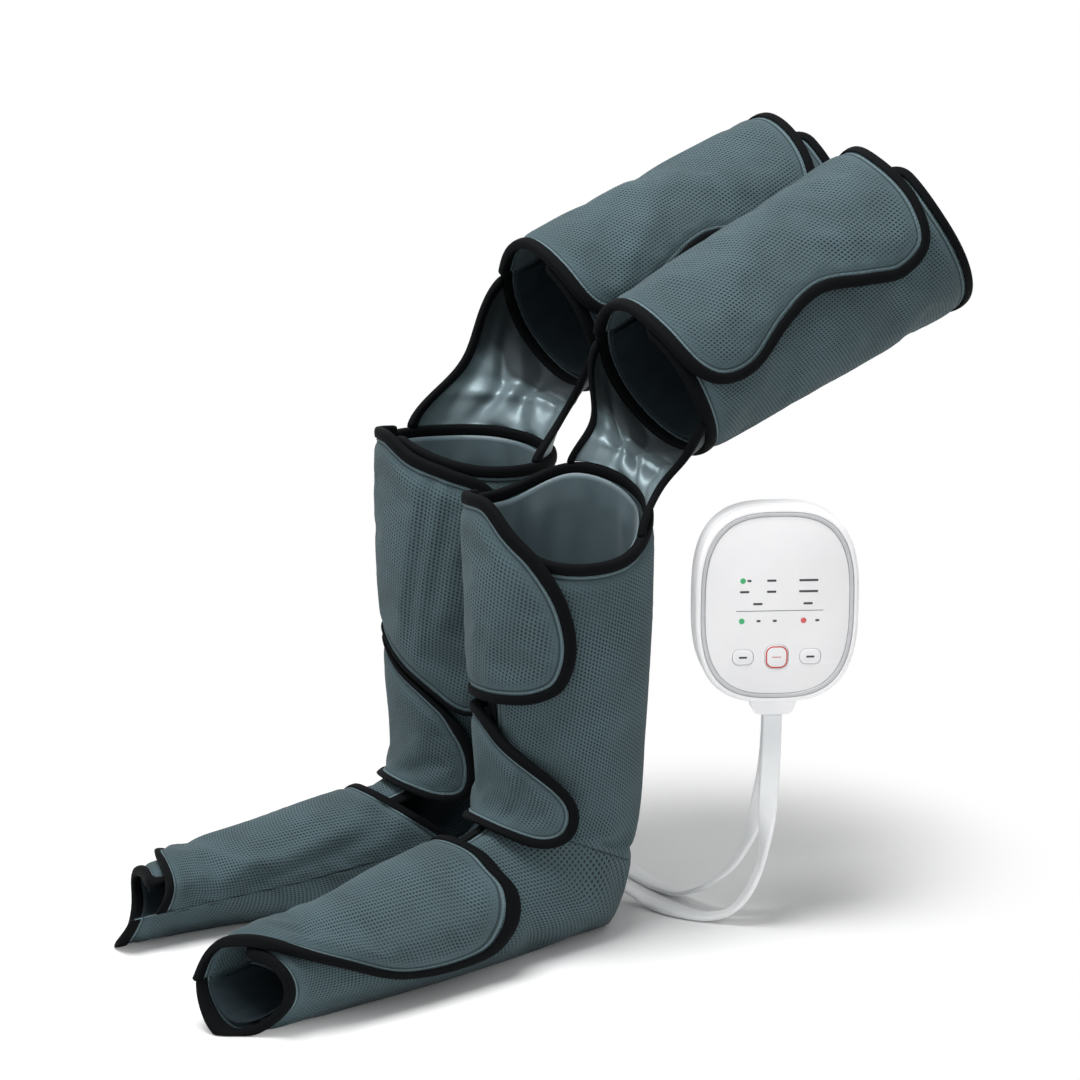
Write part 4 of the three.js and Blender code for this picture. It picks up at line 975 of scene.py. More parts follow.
# %% Folds on the flat cloth: (angle, run) points, depth and width in millimetres
FOLDS = {
    "right_upper_calf_flap": [
        ([(38, 34), (36, 48), (30, 102), (22, 156), (16, 215)], 3.0, 5.0),
        ([(50, 48), (44, 90), (38, 130), (30, 190)], 2.2, 6.0),
        ([(70, 70), (66, 130), (62, 200)], 1.4, 8.0),
    ],
    "left_upper_calf_flap": [([(4, 120), (-2, 156), (-6, 183), (-8, 204)], 1.2, 4.0)],
    "left_lower_calf_flap": [([(24, 262), (22, 285), (18, 315), (12, 340)], 1.8, 4.5)],
    "right_foot_flap": [
        ([(40, 384), (50, 420), (56, 462), (60, 510), (64, 550), (72, 590)], 4.0, 6.5),
        ([(20, 366), (34, 384), (44, 396)], 2.4, 5.0),
        ([(30, 400), (34, 440), (38, 490), (40, 540)], 2.2, 7.0),
    ],
    "right_foot": [([(84, 596), (104, 616), (130, 634)], 3.0, 6.0)],
    "left_foot": [
        ([(70, 404), (88, 420), (106, 434), (124, 446)], -2.0, 6.0),
        ([(140, 372), (150, 400), (160, 440)], 1.6, 6.0),
    ],
    "left_foot_flap": [([(30, 384), (44, 430), (50, 490), (46, 550)], 1.2, 9.0)],
    "left_thigh": [([(110, 30), (104, 90), (100, 160)], 0.7, 9.0)],
    "left_thigh_flap": [([(60, 30), (50, 90), (44, 150), (50, 210)], 0.5, 9.0)],
}


print("folds on", len(FOLDS), "pads")


# %% Height of the folds
def fold_lifts(name, places, degree):
    """Lift that a piece's folds add at its places (angle, run)."""
    flat = np.array([(angle * abs(degree), run) for angle, run in places])
    lifts = np.zeros(len(flat))
    for knots, depth, width in FOLDS.get(name, []):
        line = spline_edge([(angle * abs(degree), run) for angle, run in knots], 24)
        a, span = line[:-1], np.diff(line, axis=0)
        offset = flat[:, None] - a[None]
        share = np.clip((offset * span).sum(2) / (span ** 2).sum(1), 0, 1)
        gap = np.sqrt(((offset - share[..., None] * span) ** 2).sum(2))
        best = gap.argmin(1)
        rows = np.arange(len(flat))
        distance = gap[rows, best]
        along = (best + share[rows, best]) / len(a)
        fade = np.clip(np.minimum(along, 1 - along) * 4, 0, 1)
        groove = -np.exp(-(distance / width) ** 2) + 0.5 * np.exp(-((distance - 2 * width) / width) ** 2)
        lifts += fade * depth * groove
    return lifts


# %% Cloth under pressure
CLOTH_FRAMES = 20
CLOTH = {
    "quality": 3, "mass": 0.3, "tension_stiffness": 12, "compression_stiffness": 12,
    "bending_stiffness": 35, "use_pressure": True, "uniform_pressure_force": 4.0, "shrink_min": -0.012,
}
# The most that the cloth may move: a thigh's, an open sleeve's, one under a flap, and a flap's
THIGH_SWELL, OPEN_SWELL, COVERED_SWELL, FLAP_SWELL = 2.0, 3.0, 1.6, 3.5


def swell(piece, held, caps):
    """Cloth under pressure. held gives each point's pin weight, caps how far it may move."""
    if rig.quick():
        return
    mesh = piece.data
    count = len(mesh.vertices)
    start = np.empty(count * 3)
    mesh.vertices.foreach_get("co", start)
    start = start.reshape(count, 3)
    pins = piece.vertex_groups.new(name="pins")
    for index, weight in enumerate(held):
        if weight > 0:
            pins.add([index], float(weight), "REPLACE")
    cloth = piece.modifiers.new("cloth", "CLOTH")
    for setting, value in CLOTH.items():
        setattr(cloth.settings, setting, value)
    cloth.settings.effector_weights.gravity = 0
    cloth.settings.vertex_group_mass = "pins"
    cloth.point_cache.frame_end = CLOTH_FRAMES
    scene = bpy.context.scene
    for frame_number in range(1, CLOTH_FRAMES + 1):
        scene.frame_set(frame_number)
    settled = piece.evaluated_get(bpy.context.evaluated_depsgraph_get())
    moved = np.empty(count * 3)
    settled.data.vertices.foreach_get("co", moved)
    piece.modifiers.remove(cloth)
    piece.vertex_groups.clear()
    scene.frame_set(1)
    shift = moved.reshape(count, 3) - start
    length = np.maximum(np.linalg.norm(shift, axis=1), 1e-9)
    caps = np.maximum(np.array(caps) * MM, 1e-9)
    shift *= (caps * np.tanh(length / caps) / length)[:, None]
    settled_at = start + shift
    settled_at[:, 2] = np.maximum(settled_at[:, 2], np.minimum(start[:, 2], 0.0))
    mesh.vertices.foreach_set("co", settled_at.ravel())
    mesh.update()
    print(piece.name, "swelled by up to", round(float(np.linalg.norm(shift, axis=1).max()) / MM, 1), "mm")


# %% Grid over a sleeve
def sleeve_grid(sleeve, margin_bound, margin_seam, step, fine=True, margin_root=0):
    """Nodes (angle, run, distance to the nearest taped edge) over the sleeve."""
    free_side = math.copysign(1, sleeve["to"] - sleeve["from"])
    degree = sleeve["degree"]
    start = sleeve["from"] + free_side * margin_bound / degree
    end = sleeve["to"] - free_side * margin_root / degree
    width = abs(end - start) * degree
    height = abs(sleeve["lower"](90) - sleeve["upper"](90))
    if fine:
        across, down = edge_fine_shares(width, step), edge_fine_shares(height, step)
    else:
        across = [i / int(width / step) for i in range(int(width / step) + 1)]
        down = [i / int(height / step) for i in range(int(height / step) + 1)]
    grid = []
    for share in across:
        angle = start + (end - start) * share
        top = sleeve["upper"](angle) + (margin_bound if sleeve["bound_upper"] else margin_seam)
        bottom = sleeve["lower"](angle) - (margin_bound if sleeve["bound_lower"] else margin_seam)
        to_free = abs(angle - sleeve["from"]) * degree - TAPE_WIDTH
        column = []
        for part in down:
            run = top + (bottom - top) * part
            near = [to_free]
            if sleeve["bound_upper"]:
                near.append(run - sleeve["upper"](angle) - TAPE_WIDTH)
            if sleeve["bound_lower"]:
                near.append(sleeve["lower"](angle) - TAPE_WIDTH - run)
            column.append((angle, run, min(near)))
        grid.append(column)
    return grid


# %% A sheet laid over the limb
def grid_piece(name, surface, grid, degree, lifts, material, extra=None):
    """A closed sheet on a surface. lifts gives the outer and inner lift at (angle, run, distance)."""
    outer, inner, flat = [], [], []
    nodes = [node for column in grid for node in column]
    added = extra if extra is not None else np.zeros(len(nodes))
    for (angle, run, distance), more in zip(nodes, added):
        top, bottom = lifts(angle, run, distance)
        outer.append(surface(angle, run, top + more))
        inner.append(surface(angle, run, bottom))
        flat.append((angle * abs(degree) * MM, run * MM))
    faces = sheet_faces(len(grid), len(grid[0]))
    piece = mesh_piece(name, outer + inner, faces, flat + flat, material)
    to_tape = piece.data.attributes.new("to_tape", "FLOAT", "POINT")
    to_tape.data.foreach_set("value", [max(node[2], 0) * MM for node in nodes] * 2)
    return piece


# %% What is held and what may move
HELD_WIDTH = 5   # beside the tape, in millimetres
HELD_FADE = 6


def pins_and_caps(grid, open_cap, covered_cap, covered):
    """The inside and the edges are held; what lies under a flap may move less."""
    last_column, last_row = len(grid) - 1, len(grid[0]) - 1
    held, caps = [], []
    for i, column in enumerate(grid):
        for j, (angle, run, distance) in enumerate(column):
            rim = i in (0, last_column) or j in (0, last_row)
            free = max(0.0, 1 - (distance - HELD_WIDTH) / HELD_FADE)
            held.append(1.0 if rim or distance < HELD_WIDTH else free)
            caps.append(covered_cap if covered(angle) else open_cap)
    return held + [1.0] * len(held), caps + [0.0] * len(caps)


# %% Sleeve pads
SLEEVE_STEP, LINING_STEP, CELL_STEP, FLAP_STEP = 5.0, 4.0, 7.0, 4.0   # grids, in millimetres


def make_sleeve_pad(prefix, surface, sleeve):
    degree = sleeve["degree"]
    grid = sleeve_grid(sleeve, margin_bound=TAPE_WIDTH - TUCK, margin_seam=0.1, step=SLEEVE_STEP)
    places = [node[:2] for column in grid for node in column]
    cloth = grid_piece(prefix + "_pad", surface, grid, degree,
                       lambda a, r, d: pad_lift(d, SLEEVE[1], SLEEVE[0]), AIR_MESH,
                       fold_lifts(prefix, places, degree))
    most = THIGH_SWELL if prefix.endswith("thigh") else OPEN_SWELL
    held, caps = pins_and_caps(grid, most, COVERED_SWELL, sleeve["covered"])
    swell(cloth, held, caps)
    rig.padded(cloth, fill=0.5)
    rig.replaces(cloth, prefix + "_sleeve")
    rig.slot(cloth, "cloth")
    return cloth


# %% [markdown]
# ### Linings and air cells
# Inside each pad lies an air cell, two films welded in lines across the limb, full between the lines
# and thin on them. Inside that is a loose lining, which stands in a little, with soft waves and
# creases. Both are sheets over the limb, and sines over the angle and the run give their lift.

# %% Linings
LINING_EASE = 1.5         # how far the loose lining stands in
LINING_FADE = 20          # width over which it meets its edge


def area_of(piece):
    """Area of one side of a thin sheet, in square metres."""
    return sum(p.area for p in piece.data.polygons) / 2


def make_lining(prefix, surface, sleeve, cloth):
    def lining_lifts(angle, run, distance):
        wave = 0.5 * math.sin(angle / 9.0 + 1.3 * math.sin(run / 55))
        wave += 0.4 * math.sin(angle / 4.1 - run / 70)
        crease = 0.9 * max(math.sin(angle / 13.0 + run / 60.0), 0) ** 6
        inward = LINING_EASE * (0.9 + wave + crease) * min(max(distance / LINING_FADE, 0), 1)
        return LINING[1] - inward, LINING[0] - inward

    lining_grid = sleeve_grid(sleeve, margin_bound=TAPE_WIDTH - 1, margin_seam=0.3, step=LINING_STEP,
                              fine=False, margin_root=0.5)
    inside = grid_piece(prefix + "_lining_sheet", surface, lining_grid, sleeve["degree"], lining_lifts,
                        INNER_SATIN if prefix.endswith("calf") else TWILL)
    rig.replaces(inside, prefix + "_lining")
    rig.slot(inside, "satin")
    area = area_of(inside)
    steps = np.linspace(sleeve["from"], sleeve["to"], 30)
    lengths = [sleeve["lower"](angle) - sleeve["upper"](angle) for angle in steps]
    length = float(np.mean(lengths)) * MM
    print(inside.name, "flat:", round(area / length, 3), "by", round(length, 3), "m")
    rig.sheet(inside, flat=(area / length, length), held="stretched", rests_on=[cloth])
    return inside


# %% Air cells
CELL_WELD = 62            # from one welded line of the air cell to the next


def make_air_cell(prefix, surface, sleeve):
    cell_grid = sleeve_grid(sleeve, margin_bound=TAPE_WIDTH + 14, margin_seam=16, step=CELL_STEP,
                            fine=False, margin_root=26)

    def cell_lifts(_angle, run, _distance):
        full = 0.5 + 0.5 * abs(math.sin(math.pi * run / CELL_WELD))
        middle = (CELL[0] + CELL[1]) / 2
        half = (CELL[1] - CELL[0]) / 2 * (0.35 + 0.6 * full)
        return middle + half, middle - half

    cell = grid_piece(prefix + "_air_chamber", surface, cell_grid, sleeve["degree"], cell_lifts, BLADDER)
    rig.padded(cell, fill=0.2)
    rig.replaces(cell, prefix + "_air_cell")
    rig.slot(cell, "bladder")
    return cell


# %% The three layers of a sleeve
def make_sleeve(prefix, surface, sleeve, body):
    cloth = make_sleeve_pad(prefix, surface, sleeve)
    inside = make_lining(prefix, surface, sleeve, cloth)
    cell = make_air_cell(prefix, surface, sleeve)
    for piece in (cloth, inside, cell):
        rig.ride(piece, body)


# %% [markdown]
# ## Binding tape
# A strip of black tape is folded round each edge and sewn through. Its section is a U with a round
# back: the cloth's edge sits between its two legs. The strip follows the edge line on the flat
# cloth, so it is made like the sheets, from places on the limb's surface.


# %% Tape round an edge
def tape_section(top, bottom):
    """A closed U: (share of the width inwards from the edge, lift)."""
    middle = (top + bottom) / 2
    outside = [(1.0, top - 0.5), (0.93, top + 0.35), (0.7, top + 0.75), (0.4, top + 0.8),
               (0.14, top + 0.3), (0.02, top - 1.2), (-0.02, middle), (0.02, bottom + 1.2),
               (0.14, bottom - 0.1), (0.4, bottom - 0.3), (0.7, bottom - 0.3), (0.93, bottom - 0.1),
               (1.0, bottom + 0.4)]
    inside = [(0.9, bottom + 1.0), (0.5, bottom + 1.1), (0.34, middle), (0.5, top - 1.1), (0.9, top - 0.9)]
    return outside + inside


def tape_piece(name, surface, edge, inset, layer):
    section = tape_section(layer[1], layer[0])
    points, flat = [], []
    length = 0.0
    previous = None
    for (edge_angle, edge_run), (inset_angle, inset_run) in zip(edge, inset):
        here = surface(edge_angle, edge_run, layer[1])
        if previous is not None:
            length += (here - previous).length
        previous = here
        for share, lift in section:
            angle = edge_angle + (inset_angle - edge_angle) * share
            run = edge_run + (inset_run - edge_run) * share
            points.append(surface(angle, run, lift))
            flat.append((length, share * TAPE_WIDTH * MM))
    piece = mesh_piece(name, points, tube_faces(len(edge), len(section)), flat, TAPE)
    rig.slot(piece, "tape")
    return piece


# %% Tape round a sleeve
CORNER_REACH = 3          # pairs on each side that round an edge's corner
RIM_STEPS, SIDE_STEPS = 110, 70
SEAM_GAP = 0.3            # to a seam that carries no tape


def round_corners(pairs):
    """Rounds the corners of an edge line: each pair moves to the mean of those near it."""
    line = np.array(pairs, float).reshape(len(pairs), 4)
    soft = line.copy()
    for i in range(1, len(line) - 1):
        reach = min(CORNER_REACH, i, len(line) - 1 - i)
        soft[i] = line[i - reach:i + reach + 1].mean(axis=0)
    return soft


def make_sleeve_tape(prefix, surface, sleeve, body):
    degree = sleeve["degree"]
    free_side = math.copysign(1, sleeve["to"] - sleeve["from"])
    free = sleeve["from"] + free_side * TAPE_WIDTH / degree
    upper, lower = sleeve["upper"], sleeve["lower"]
    angles = [free + (sleeve["to"] - free) * i / RIM_STEPS for i in range(1, RIM_STEPS + 1)]
    top_gap, top_width = (0, TAPE_WIDTH) if sleeve["bound_upper"] else (SEAM_GAP, SEAM_GAP)
    low_gap, low_width = (0, TAPE_WIDTH) if sleeve["bound_lower"] else (SEAM_GAP, SEAM_GAP)
    pairs = []
    if sleeve["bound_upper"]:
        pairs += [(a, upper(a), a, upper(a) + TAPE_WIDTH) for a in reversed(angles)]
    corner_top = (sleeve["from"], upper(sleeve["from"]) + top_gap, free, upper(free) + top_width)
    corner_low = (sleeve["from"], lower(sleeve["from"]) - low_gap, free, lower(free) - low_width)
    for i in range(SIDE_STEPS + 1):
        share = i / SIDE_STEPS
        pairs.append(tuple(a + (b - a) * share for a, b in zip(corner_top, corner_low)))
    if sleeve["bound_lower"]:
        pairs += [(a, lower(a), a, lower(a) - TAPE_WIDTH) for a in angles]
    line = round_corners(pairs)
    edge = [(p[0], p[1]) for p in line]
    inset = [(p[2], p[3]) for p in line]
    piece = tape_piece(prefix + "_edge_tape", surface, edge, inset, SLEEVE)
    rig.replaces(piece, prefix + "_binding")
    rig.ride(piece, body)


# %% [markdown]
# ## Flaps
# A flap is sewn to the sleeve along its root, lies in the sleeve's own layer there, and rises over
# the sleeve's free edge. It is a rounded pad with tape all round its free edge.

# %% Flap outlines
ROOT_CLEARANCE = 0.8
EDGE_SAMPLES = 150
SLIM_FADE = 0.08         # share of the edge over which its tape narrows
RISE_BEFORE = 13         # degrees before the sleeve's edge by which a flap has risen over it
SEAM_RISE = (50, 17)     # the same before the ankle seam, in millimetres


def inset_edge(edge, degree, width, slim=(2, 2)):
    """The edge drawn in by a width, square to the edge as it lies on the cloth. The inset is
    narrower along the slim part of the edge, where two flaps lie side by side."""
    drawn = []
    last = len(edge) - 1
    for i, node in enumerate(edge):
        along_edge = i / last
        slimmer = smoothstep(along_edge, slim[0] - SLIM_FADE, slim[0])
        slimmer -= smoothstep(along_edge, slim[1], slim[1] + SLIM_FADE)
        inset = width * (1 - 0.5 * slimmer)
        before, after = edge[max(i - 1, 0)], edge[min(i + 1, last)]
        across = (after[0] - before[0]) * degree
        along = after[1] - before[1]
        length = math.hypot(across, along)
        if i in (0, last):
            drawn.append((node[0], node[1] + math.copysign(inset, across)))
        else:
            drawn.append((node[0] - along / length * inset / degree, node[1] + across / length * inset))
    return drawn


def distance_to_line(place, line):
    """Shortest distance from a place to a line of points, all on the flat cloth in millimetres."""
    a, b = line[:-1], line[1:]
    span = b - a
    share = np.clip(((place - a) * span).sum(1) / np.maximum((span ** 2).sum(1), 1e-9), 0, 1)
    return float(np.sqrt((((a + span * share[:, None]) - place) ** 2).sum(1)).min())


# %% Flap patch
def line_through(points):
    """A line of points as a function of the share of its length."""
    points = np.array(points, float)
    length = np.concatenate([[0], np.cumsum(np.linalg.norm(np.diff(points, axis=0), axis=1))])
    return lambda share: np.array([np.interp(share * length[-1], length, points[:, k]) for k in (0, 1)])


def flap_patch(outline, step):
    """Grid over a flap whose outline runs from its root's top, round the free edge, to its root's
    low end, in millimetres. The grid blends between four sides: the root, the upper edge, the free
    edge, and the lower edge. The free edge is where the outline runs more along the limb than
    across it."""
    outline = np.array(outline, float)
    steps = np.abs(np.diff(outline, axis=0))
    along = np.nonzero(steps[:, 1] > steps[:, 0])[0]
    last = len(outline) - 1
    first_turn = max(int(along[0]), last // 12)
    last_turn = min(int(along[-1]) + 1, last - last // 12)
    top = line_through(outline[:first_turn + 1])
    low = line_through(outline[last_turn:][::-1])
    free = line_through(outline[first_turn:last_turn + 1])
    root = line_through([outline[0], outline[-1]])
    size = outline.max(axis=0) - outline.min(axis=0)
    grid = []
    for u in edge_fine_shares(size[0], step):
        column = []
        for v in edge_fine_shares(size[1], step):
            place = ((1 - v) * top(u) + v * low(u) + (1 - u) * root(v) + u * free(v)
                     - (1 - u) * (1 - v) * top(0) - u * (1 - v) * top(1)
                     - (1 - u) * v * low(0) - u * v * low(1))
            column.append(place)
        grid.append(column)
    return grid


# %% Flap pads and tapes
def make_flap(name, surface, degree, closure, flap, seam, body):
    root_angle, free = closure
    side = math.copysign(1, free - root_angle)
    root = root_angle + side * ROOT_CLEARANCE / abs(degree)

    def over(angle, run, lift):
        risen = smoothstep(side * angle, side * root, side * free - RISE_BEFORE)
        over_seam = smoothstep(run, seam - SEAM_RISE[0], seam - SEAM_RISE[1]) if seam else 0
        sunk = 1 - max(risen, over_seam)
        return surface(angle, run, lift - sunk * (SLEEVE[1] - SLEEVE[0] + FLAP[0]))

    (root_top, root_low), knots, *rest = flap
    slim = rest[0] if rest else (2, 2)
    edge = spline_edge([(root, root_top), *knots, (root, root_low)], EDGE_SAMPLES)
    inset = inset_edge(edge, degree, TAPE_WIDTH, slim)
    tape = tape_piece(name + "_tape", over, edge, inset, FLAP)
    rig.replaces(tape, name + "_binding")
    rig.ride(tape, body)

    cut = inset_edge(edge, degree, TAPE_WIDTH - TUCK, slim)
    patch = flap_patch([(angle * degree, run) for angle, run in cut], FLAP_STEP)
    taped = np.array([(angle * degree, run) for angle, run in inset])
    whole = np.array([(angle * degree, run) for angle, run in edge])
    grid = []
    for column in patch:
        nodes = []
        for place in column:
            near = distance_to_line(place, taped)
            under = distance_to_line(place, whole) < near
            nodes.append((place[0] / degree, place[1], 0.0 if under else near))
        grid.append(nodes)
    places = [node[:2] for column in grid for node in column]
    pad = grid_piece(name + "_pad", over, grid, degree, lambda a, r, d: pad_lift(d, FLAP[1], FLAP[0]),
                     AIR_MESH, fold_lifts(name, places, degree))
    most = THIGH_SWELL if name.endswith("thigh_flap") else FLAP_SWELL
    held, caps = pins_and_caps(grid, most, most, lambda angle: False)
    swell(pad, held, caps)
    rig.padded(pad, fill=0.5)
    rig.replaces(pad, name)
    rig.slot(pad, "cloth")
    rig.ride(pad, body)


# %% [markdown]
# ### The cloth at a flap's root
# On the real wrap the flap's cloth runs on into the sleeve. Here the two pads end side by side, so a
# strip of lining cloth is buried in both. It is blended between their bodies and closes the slit that
# would show when the flap is open. The foot's root is curved, so its strip is made in short lengths,
# each blended across its own place.

# %% Root cloth
ROOT_REACH = 5.0   # how far the strip goes into each pad, in millimetres
ROOT_END = 5.0     # how far it stops from the root's ends
ROOT_STEP = 6.0
ROOT_LAYER = (-4.2, -2.8)
ROOT_TURN = 1.0    # how far beyond the slit the strip starts to turn
ROOT_OVERLAP = 5.0  # of two lengths


def make_root_cloth(name, surface, degree, closure, flap, seam, bodies, lengths=1):
    root_angle, free = closure
    side = math.copysign(1, free - root_angle)
    root_top, root_low = flap[0]
    first = root_top + ROOT_END
    last = min(root_low - ROOT_END, seam - SEAM_RISE[0]) if seam else root_low - ROOT_END
    widths = np.linspace(-ROOT_REACH, ROOT_CLEARANCE + ROOT_REACH, 13)

    def angle_at(across):
        return root_angle + side * across / abs(degree)

    for number in range(lengths):
        low = max(first + (last - first) * number / lengths - ROOT_OVERLAP, first)
        high = min(first + (last - first) * (number + 1) / lengths + ROOT_OVERLAP, last)
        rows = int((high - low) / ROOT_STEP)
        runs = [low + (high - low) * j / rows for j in range(rows + 1)]
        grid = [[(angle_at(width), run, SOFT_EDGE) for run in runs] for width in widths]
        strip = grid_piece(f"{name}_root_cloth_{number + 1}", surface, grid, degree,
                           lambda a, r, d: ROOT_LAYER[::-1], TWILL)
        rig.padded(strip, fill=0.2)
        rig.slot(strip, "satin")
        middle = (low + high) / 2
        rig.blend(strip, *bodies, start=surface(angle_at(-ROOT_TURN), middle, ROOT_LAYER[0]),
                 end=surface(angle_at(ROOT_CLEARANCE + ROOT_TURN), middle, ROOT_LAYER[0]))


# %% [markdown]
# ## The knee panel
# Behind the knee a satin panel joins the calf's rim to the thigh's. It is a loose sheet that bends
# when the knee bends, so it is blended between the two bodies. Black tape binds its two sides.

# %% A place on the knee panel
EDGE_SLACK = 0.3         # how much narrower the slack panel is half way up
PANEL_GAP = 0.4          # to the tapes that it is sewn to
HANDLE = 0.24            # of the curve from the calf to the thigh, as a share of its length


def knee_place(leg, boot, thigh, calf_rim, knee_rim):
    """A place on the panel, from a share across it, a share up it, and a lift in millimetres."""
    calf_from, calf_to = leg["panel_calf"]
    thigh_from, thigh_to = leg["panel_thigh"]

    def place(share, rise, lift):
        slack = EDGE_SLACK * math.sin(math.pi * rise) ** 1.5
        share = 0.5 + (share - 0.5) * (1 - slack)
        calf_angle = calf_from + (calf_to - calf_from) * share
        thigh_angle = thigh_from + (thigh_to - thigh_from) * share
        calf_run = calf_rim(calf_angle) - PANEL_GAP
        thigh_run = knee_rim(thigh_angle) - PANEL_GAP
        low = boot(calf_angle, calf_run, lift)
        high = thigh(thigh_angle, thigh_run, lift)
        stretch = (low - high).length * HANDLE / MM
        low_handle = boot(calf_angle, calf_run - stretch, lift)
        high_handle = thigh(thigh_angle, thigh_run - stretch, lift)
        r = 1 - rise
        return (low * r ** 3 + low_handle * 3 * r * r * rise + high_handle * 3 * r * rise * rise
                + high * rise ** 3)

    return place


# %% Creases of the satin
CREASE_HEIGHT = 1.4

# Creases that fan over the panel: share at the calf, share at the thigh, height and width
CREASES = [
    (0.16, 0.10, 2.4, 0.055), (0.34, 0.26, 3.0, 0.045), (0.45, 0.40, -2.0, 0.05),
    (0.52, 0.54, 3.2, 0.045), (0.60, 0.66, -1.8, 0.05), (0.68, 0.78, 3.0, 0.045),
    (0.84, 0.92, 2.2, 0.05),
]


def crease_lift(share, rise):
    """How far the satin stands off its smooth surface."""
    lift = 0.0
    for at_calf, at_thigh, height, width in CREASES:
        middle = at_calf + (at_thigh - at_calf) * rise + 0.018 * math.sin(9 * rise + 20 * at_calf)
        lift += bell(share, middle, width, height)
    bend = 0.42 + 0.12 * math.sin(5 * share)
    lift -= bell(rise, bend, 0.07, 2.2)
    lift += bell(rise - bend, 0.16, 0.06, 1.6)
    calm = min(1.0, 5 * share, 5 * (1 - share)) * math.sin(math.pi * rise) ** 0.5
    return CREASE_HEIGHT * lift * calm


print(len(CREASES), "creases, up to", round(max(crease_lift(i / 50, 0.5) for i in range(51)), 1), "mm")


# %% Knee panel and its side tapes
KNEE_DEPTH = 3
KNEE_THICKNESS = 2.4
KNEE_CLOTH = 0.16, 0.09  # what its UV map spans, in metres
KNEE_TAPE_STEPS = 40
KNEE_TAPE_OUT = 2        # how far the side tape stands out from the panel's edge
KNEE_ARC = 1.35          # how much longer the way round the panel is than the straight one


def make_knee(leg, boot, thigh, calf_rim, knee_rim):
    place = knee_place(leg, boot, thigh, calf_rim, knee_rim)
    columns, rows = 150, 70
    outer, inner, flat = [], [], []
    for i in range(columns + 1):
        share = i / columns
        for j in range(rows + 1):
            rise = j / rows
            top = -KNEE_DEPTH - 1 + crease_lift(share, rise)
            outer.append(place(share, rise, top))
            inner.append(place(share, rise, top - KNEE_THICKNESS * 0.5))
            flat.append((share * KNEE_CLOTH[0], rise * KNEE_CLOTH[1]))
    panel = mesh_piece(leg["name"] + "_knee_satin", outer + inner, sheet_faces(columns + 1, rows + 1),
                       flat + flat, SATIN)
    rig.replaces(panel, leg["name"] + "_knee_panel")
    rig.slot(panel, "satin")
    thigh_body = leg["name"] + "_thigh"
    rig.blend(panel, "wraps", thigh_body, start=leg["bend"][0], end=leg["bend"][1])
    area = area_of(panel)
    print(panel.name, "flat:", round(area / 0.08, 3), "by 0.08 m")
    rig.sheet(panel, flat=(area / 0.08, 0.08), held="stretched")
    for side, at_share, inward in (("outer", 0.0, 1), ("inner", 1.0, -1)):
        section = tape_section(-KNEE_DEPTH + 1.5, -KNEE_DEPTH - KNEE_THICKNESS - 1.5)
        points, edge_flat = [], []
        for j in range(KNEE_TAPE_STEPS + 1):
            rise = j / KNEE_TAPE_STEPS
            width = (place(0.0, rise, 0) - place(1.0, rise, 0)).length / MM
            span = width * KNEE_ARC
            for part, lift in section:
                share = at_share + inward * (part * TAPE_WIDTH - KNEE_TAPE_OUT) / span
                points.append(place(share, rise, lift))
                edge_flat.append((rise * KNEE_CLOTH[1], part * TAPE_WIDTH * MM))
        tape = mesh_piece(f"{leg['name']}_knee_{side}_tape", points,
                          tube_faces(KNEE_TAPE_STEPS + 1, len(section)), edge_flat, TAPE)
        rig.slot(tape, "tape")
        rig.blend(tape, "wraps", thigh_body, start=leg["bend"][0], end=leg["bend"][1])


# %% What each sleeve spans
THIGH_FLAP_REACH = 95    # degrees round the thigh that its flap covers
FOOT_FLAP_REACH = 116


def sleeves_of(leg, handed):
    """What each sleeve spans: its free edge and its root, as angles, and its two ends, as runs."""
    calf_rim, knee_rim = rim_line(leg["calf_rim"]), rim_line(leg["knee_rim"])
    hip_rim, toe_rim = rim_line(leg["hip_rim"]), rim_line(leg["toe_rim"])
    calf_flap_reach = max(knot[0] for knot in leg["upper_calf_flap"][1])
    foot_root, foot_free = leg["foot_closure"]
    return {
        "calf": {
            "from": CALF_CLOSURE[1], "to": 360 + CALF_CLOSURE[0],
            "upper": calf_rim, "lower": lambda a: ANKLE_SEAM, "bound_upper": True, "bound_lower": False,
            "covered": lambda a: a < calf_flap_reach + 4,
        },
        "foot": {
            "from": foot_free, "to": handed * 360 + foot_root,
            "upper": lambda a: ANKLE_SEAM, "lower": toe_rim, "bound_upper": False, "bound_lower": True,
            "covered": lambda a: handed * a < FOOT_FLAP_REACH,
        },
        "thigh": {
            "from": THIGH_CLOSURE[1], "to": 360 + THIGH_CLOSURE[0],
            "upper": knee_rim, "lower": hip_rim, "bound_upper": True, "bound_lower": True,
            "covered": lambda a: a < THIGH_FLAP_REACH,
        },
    }


